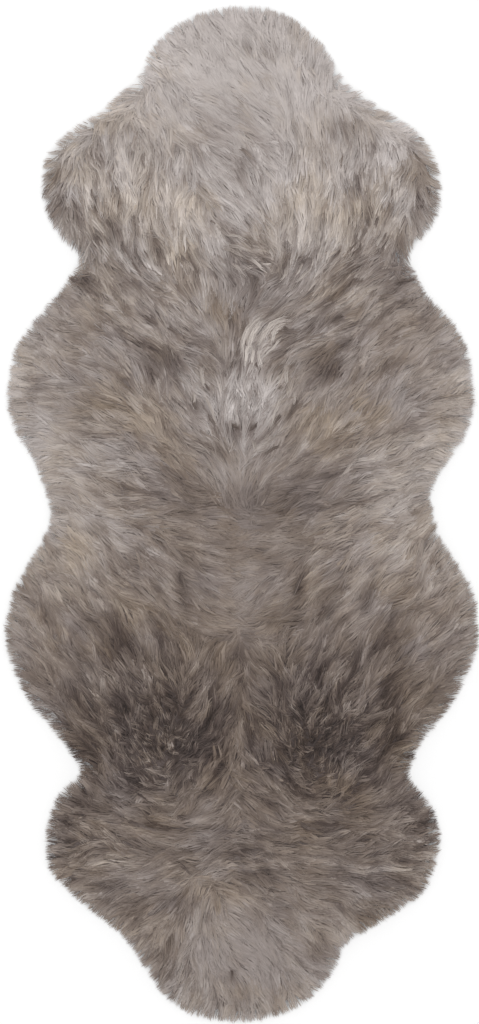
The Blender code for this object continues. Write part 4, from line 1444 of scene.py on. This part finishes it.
coats = []
for coat in COATS:
    strands = grow_strands(coat, np.random.default_rng(coat.seed))
    coats += build_pieces(coat.name, coat.strand, strands)
coats += build_pieces("single_locks", CURLED, place_single_locks(np.random.default_rng(5)))

# %% [markdown]
# ## The mat of roots
#
# Between the locks one looks down onto the roots, where the wool is dense and darker. A
# closed mat stands for them, a little lower than the locks. It is darker than the wool over
# it, partly as the roots' own colour and partly as painted shade for the gaps it shows
# through. It is a grid cut to the slab's rim, raised to the height map and closed underneath,
# where it leaves room for the hide. It takes the place of the imported slab of wool on its
# pelt.

# %% Cut and raise a mat
MAT_CELL = 9 * MM
MAT_SUNK = 0.8 * MM
MAT_LOWEST = 4.5 * MM
MAT_OVER_HIDE = 3.3 * MM
MAT_OVER_FLOOR = 0.5 * MM
MAT_RIM_SHARE = 0.35  # of a cell: points nearer to the rim than this are trimmed off
BESIDE_SEAM = 1 * MM  # points nearer to the seam than this stay on its straight cut
RIPPLE_WIDTH, RIPPLE_HEIGHT = 13 * MM, 1.0 * MM
# the mat's darkening: partly the roots' own colour, partly painted shade of the gaps between
# locks
ROOT_COLOUR_AND_PAINTED_SHADE = 0.07
TUCKED_UNDER = 5 * MM  # from the rim in, the mat's underside climbs over the hide
SEAM_HALF_GAP = 0.15 * MM


def read_at_points(values, verts):
    places = np.array([vert.co[:2] for vert in verts])
    return look_up(values, places[:, 0], places[:, 1])


def cut_grid(side):
    """A flat grid cut at the waist and trimmed and snapped to the slab's rim."""
    bm = bmesh.new()
    cells = int(2 * HALF_GRID[1] / MAT_CELL)
    bmesh.ops.create_grid(bm, x_segments=cells, y_segments=cells, size=HALF_GRID[1])
    bmesh.ops.bisect_plane(
        bm, geom=bm.verts[:] + bm.edges[:] + bm.faces[:], clear_inner=True,
        plane_co=(0, SEAM_Y + side * SEAM_HALF_GAP, 0), plane_no=(0, side, 0),
    )
    depth = read_at_points(inside_by, bm.verts)
    gone = [
        vert for vert, inside in zip(bm.verts[:], depth)
        if inside < MAT_RIM_SHARE * MAT_CELL or abs(vert.co.x) > HALF_GRID[0] - STEP
    ]
    bmesh.ops.delete(bm, geom=gone, context="VERTS")
    rim = [v for v in bm.verts if v.is_boundary and abs(v.co.y - SEAM_Y) > BESIDE_SEAM]
    steps = zip(
        rim, read_at_points(inside_by, rim),
        read_at_points(outward_x, rim), read_at_points(outward_y, rim),
    )
    for vert, inside, to_x, to_y in steps:
        vert.co.x += to_x * inside
        vert.co.y += to_y * inside
    return bm


def make_mat(name, side):
    """side is +1 for the front pelt and -1 for the back one."""
    bm = cut_grid(side)
    for vert, height in zip(bm.verts, read_at_points(wool_height, bm.verts)):
        ripple = noise.noise(vert.co / RIPPLE_WIDTH) * RIPPLE_HEIGHT
        vert.co.z = max(height - MAT_SUNK + ripple, MAT_LOWEST)
    grown = bmesh.ops.extrude_face_region(bm, geom=bm.faces[:], use_keep_orig=True)
    under = [item for item in grown["geom"] if isinstance(item, bmesh.types.BMVert)]
    for vert, inside in zip(under, read_at_points(inside_by, under)):
        vert.co.z = MAT_OVER_HIDE if inside > TUCKED_UNDER else MAT_OVER_FLOOR
    bmesh.ops.recalc_face_normals(bm, faces=bm.faces)
    mesh = mesh_of(bm, name)
    mesh.shade_smooth()
    flat = np.empty(len(mesh.vertices) * 3)
    mesh.vertices.foreach_get("co", flat)
    x, y, _ = flat.reshape(-1, 3).T
    # painted shade and root colour: the mat is darker than the wool over it
    shade = look_up(lightness, x, y) - ROOT_COLOUR_AND_PAINTED_SHADE + MOTTLE_VARIES * look_up(mottle, x, y)
    mesh.attributes.new("shade", "FLOAT", "POINT").data.foreach_set("value", shade)
    return put_in_scene(name, mesh)


print("a mat's cells are", MAT_CELL / MM, "mm wide")

# %% [markdown]
# ## Matted roots
#
# Near the skin the fibres cross and cling together. So the mats have the colours of the
# wool, but in place of streaks they have fine fibres that run every way, and no sheen.

# %% Finish and build the mats
def felt_material():
    """Matted roots: the wool's own colours, crossed by fine fibres."""
    felt, shader = new_material("matted_wool_roots")
    place = add_node(felt, "ShaderNodeTexCoord")
    fibres = add_node(
        felt, "ShaderNodeTexNoise",
        {"Vector": place.outputs["Object"], "Scale": 1 / (2.2 * MM), "Detail": 3.0},
    )
    colour = colour_by_shade(felt, fibres.outputs["Fac"], amount=0.2)
    add_bump(felt, fibres, strength=0.8, distance=1.0 * MM)
    felt.node_tree.links.new(colour, shader.inputs["Base Color"])
    shader.inputs["Roughness"].default_value = 0.9
    return felt


felt = felt_material()
mats = []
for pelt, side in (("front", 1), ("back", -1)):
    mat = make_mat("wool_roots_" + pelt, side)
    mat.data.materials.append(felt)
    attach(mat, "root")
    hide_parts("fleece_" + pelt)
    mats.append(mat)
    print(f"{mat.name}: {len(mat.data.polygons)} faces")

# %% [markdown]
# ## The hides
#
# Tanned sheepskin, 2.5 mm thick, with the buffed suede side down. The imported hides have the
# true cut outline, so each one is copied and merged into one skin and its cut edge is
# rounded. Where the two pelts meet, a furrier pares the edges thinner, so that the seam
# doesn't make a ridge under the rug.

# %% Cut a hide
HIDE_THICK = 2.5 * MM
PARED_OFF = 0.9 * MM
PARED_WIDTH = 12 * MM
SAME_PLACE = 0.01 * MM
FLAT_WITHIN, SHARP_FROM = math.radians(2), math.radians(50)
EDGE_ROUND = 0.8 * MM


def make_hide(name, node, side):
    """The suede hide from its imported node, and its area. side is +1 in front of the seam."""
    bm = bmesh.new()
    bm.from_mesh(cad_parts[node].data)
    bmesh.ops.remove_doubles(bm, verts=bm.verts, dist=SAME_PLACE)
    bmesh.ops.dissolve_limit(
        bm, angle_limit=FLAT_WITHIN, verts=bm.verts[:], edges=bm.edges[:]
    )
    rim = [e for e in bm.edges if abs(e.verts[0].co.z - e.verts[1].co.z) < SAME_PLACE]
    bmesh.ops.bevel(
        bm, geom=rim, offset=EDGE_ROUND, offset_type="OFFSET", affect="EDGES",
        segments=2, profile=0.5, material=-1,
    )
    bmesh.ops.bisect_plane(
        bm, geom=bm.verts[:] + bm.edges[:] + bm.faces[:],
        plane_co=(0, SEAM_Y + side * PARED_WIDTH, 0), plane_no=(0, 1, 0),
    )
    for vert in bm.verts:
        from_seam = abs(vert.co.y - SEAM_Y)
        if from_seam < PARED_WIDTH and vert.co.z < HIDE_THICK / 2:
            vert.co.z += PARED_OFF * (1 - from_seam / PARED_WIDTH)
    bmesh.ops.triangulate(bm, faces=[face for face in bm.faces if len(face.verts) > 4])
    bmesh.ops.recalc_face_normals(bm, faces=bm.faces)
    area = bm.calc_volume() / HIDE_THICK
    mesh = mesh_of(bm, name)
    mesh.shade_smooth()
    mesh.set_sharp_from_angle(angle=SHARP_FROM)
    return put_in_scene(name, mesh), area


print("edges are pared by", PARED_OFF / MM, "mm over", PARED_WIDTH / MM, "mm")

# %% [markdown]
# ## The suede side
#
# The flesh side of a tanned skin is buffed with fine grit, which raises a short nap. That
# makes it matt, with a soft sheen where light grazes it. The tan takes unevenly, so clouds
# about 60 mm wide lie over it, and the nap is drawn 1.2 mm wide, as fine as it shows.

# %% Suede material
def suede_material():
    """Tanned and buffed hide: matt short nap, tan, with paler and darker clouds."""
    suede, shader = new_material("buffed_sheep_suede")
    place = add_node(suede, "ShaderNodeTexCoord")
    clouds = add_node(
        suede, "ShaderNodeTexNoise",
        {"Vector": place.outputs["Object"], "Scale": 1 / (60 * MM), "Detail": 4.0},
    )
    nap = add_node(
        suede, "ShaderNodeTexNoise",
        {"Vector": place.outputs["Object"], "Scale": 1 / (1.2 * MM), "Detail": 3.0},
    )
    colour = add_node(suede, "ShaderNodeValToRGB", {"Fac": clouds.outputs["Fac"]})
    low, high = colour.color_ramp.elements
    low.position, low.color = 0.3, hex_colour("#b3906c")
    high.position, high.color = 0.7, hex_colour("#cfb391")
    add_bump(suede, nap, strength=0.35, distance=0.3 * MM)
    suede.node_tree.links.new(colour.outputs["Color"], shader.inputs["Base Color"])
    shader.inputs["Roughness"].default_value = 0.88
    shader.inputs["Sheen Weight"].default_value = 0.3
    shader.inputs["Sheen Roughness"].default_value = 0.5
    return suede


suede = suede_material()
print("material:", suede.name)

# %% [markdown]
# ## The seam
#
# A furrier sews two pelts edge to edge from the suede side, with small overcast stitches of
# waxed linen thread. Each one crosses the seam at a slant and dives into both hides about
# 4 mm from their edges. The pared edges keep the thread off the floor. One stitch is a ball
# drawn out along its path.

# %% Make one stitch
StitchPoint = namedtuple("StitchPoint", "across up girth")
STITCH_PATH = as_records(StitchPoint, [  # mm
    (-4.3, 1.9, 0.0), (-4.0, 1.2, 0.6), (-2.8, 0.62, 0.6), (0.0, 0.54, 0.6),
    (2.8, 0.62, 0.6), (4.0, 1.2, 0.6), (4.3, 1.9, 0.0),
])
STITCH_SLANT = 0.35  # along the seam for each mm across it
STITCH_SIDES = 6


def make_stitch():
    """One closed stitch over the seam, at the middle of the rug."""
    bm = bmesh.new()
    rings = len(STITCH_PATH) - 1
    bmesh.ops.create_uvsphere(bm, u_segments=STITCH_SIDES, v_segments=rings, radius=1)
    for vert, ring in zip(bm.verts[:], ring_numbers(bm)):
        point = STITCH_PATH[ring]
        away = max(math.hypot(vert.co.x, vert.co.y), 1e-3)  # zero at the ball's ends
        side, rise = vert.co.x / away * point.girth / 2, vert.co.y / away * point.girth / 2
        vert.co = (
            (side + STITCH_SLANT * point.across) * MM, SEAM_Y + point.across * MM,
            (point.up + rise) * MM,
        )
    bmesh.ops.recalc_face_normals(bm, faces=bm.faces)
    return bm


print("a stitch dives in", STITCH_PATH[-1].across, "mm from the seam on each side")

# %% [markdown]
# ## A row of stitches
#
# The stitch is copied all along the seam, and each copy is moved a little off its even
# place, as in real sewing. The thread is twisted linen rubbed with wax, so it is pale and
# dull.

# %% Sew the seam
STITCH_EVERY = 6 * MM
STITCH_UNEVEN = 0.4  # mm
FROM_RIM = 9 * MM  # of the first and the last stitch


def sew_seam():
    points = [vert.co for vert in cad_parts["hide_front"].data.vertices]
    corners = [point.x for point in points if point.y < SEAM_Y + MM]
    places = np.arange(min(corners) + FROM_RIM, max(corners) - FROM_RIM, STITCH_EVERY)
    dice = random.Random(3)
    bm = make_stitch()
    stitch = bm.verts[:] + bm.edges[:] + bm.faces[:]
    for x in places[1:]:
        copied = bmesh.ops.duplicate(bm, geom=stitch)["geom"]
        moved = [item for item in copied if isinstance(item, bmesh.types.BMVert)]
        shift = (x - places[0] + dice.uniform(-STITCH_UNEVEN, STITCH_UNEVEN) * MM, 0, 0)
        bmesh.ops.translate(bm, verts=moved, vec=shift)
    bmesh.ops.translate(bm, verts=bm.verts, vec=(places[0], 0, 0))
    mesh = mesh_of(bm, "seam_stitches_front")
    mesh.shade_smooth()
    print(len(places), "stitches,", sum(len(f.vertices) - 2 for f in mesh.polygons), "triangles")
    return put_in_scene("seam_stitches_front", mesh)


def thread_material():
    """Unbleached linen rubbed with wax: pale, dull, with the fine twist of its fibres."""
    linen, shader = new_material("waxed_linen_thread")
    place = add_node(linen, "ShaderNodeTexCoord")
    twist = add_node(
        linen, "ShaderNodeTexWave",
        {"Vector": place.outputs["Object"], "Scale": 1 / (3 * MM), "Distortion": 1.0},
        bands_direction="DIAGONAL",
    )
    add_bump(linen, twist, strength=0.4, distance=0.1 * MM)
    shader.inputs["Base Color"].default_value = hex_colour("#e0d3b8")
    shader.inputs["Roughness"].default_value = 0.55
    return linen


stitches = sew_seam()
stitches.data.materials.append(thread_material())
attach(stitches, "root")

# %% [markdown]
# ## Hides, mats and wool together
#
# Each hide is cut from its imported node and laid flat under its mat and wool. All pieces hang on
# one body, so what grows on a hide or is sewn into it moves with it.

# %% Lay the hides
hides = []
for pelt, side in (("front", 1), ("back", -1)):
    node = "hide_" + pelt
    hide, area = make_hide("suede_" + node, node, side)
    hide.data.materials.append(suede)
    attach(hide, "root")
    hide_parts(node)
    hides.append(hide)

# %% Count the triangles
made = coats + mats + hides + [stitches]
triangles = sum(len(face.vertices) - 2 for piece in made for face in piece.data.polygons)
print("triangles in all:", triangles)
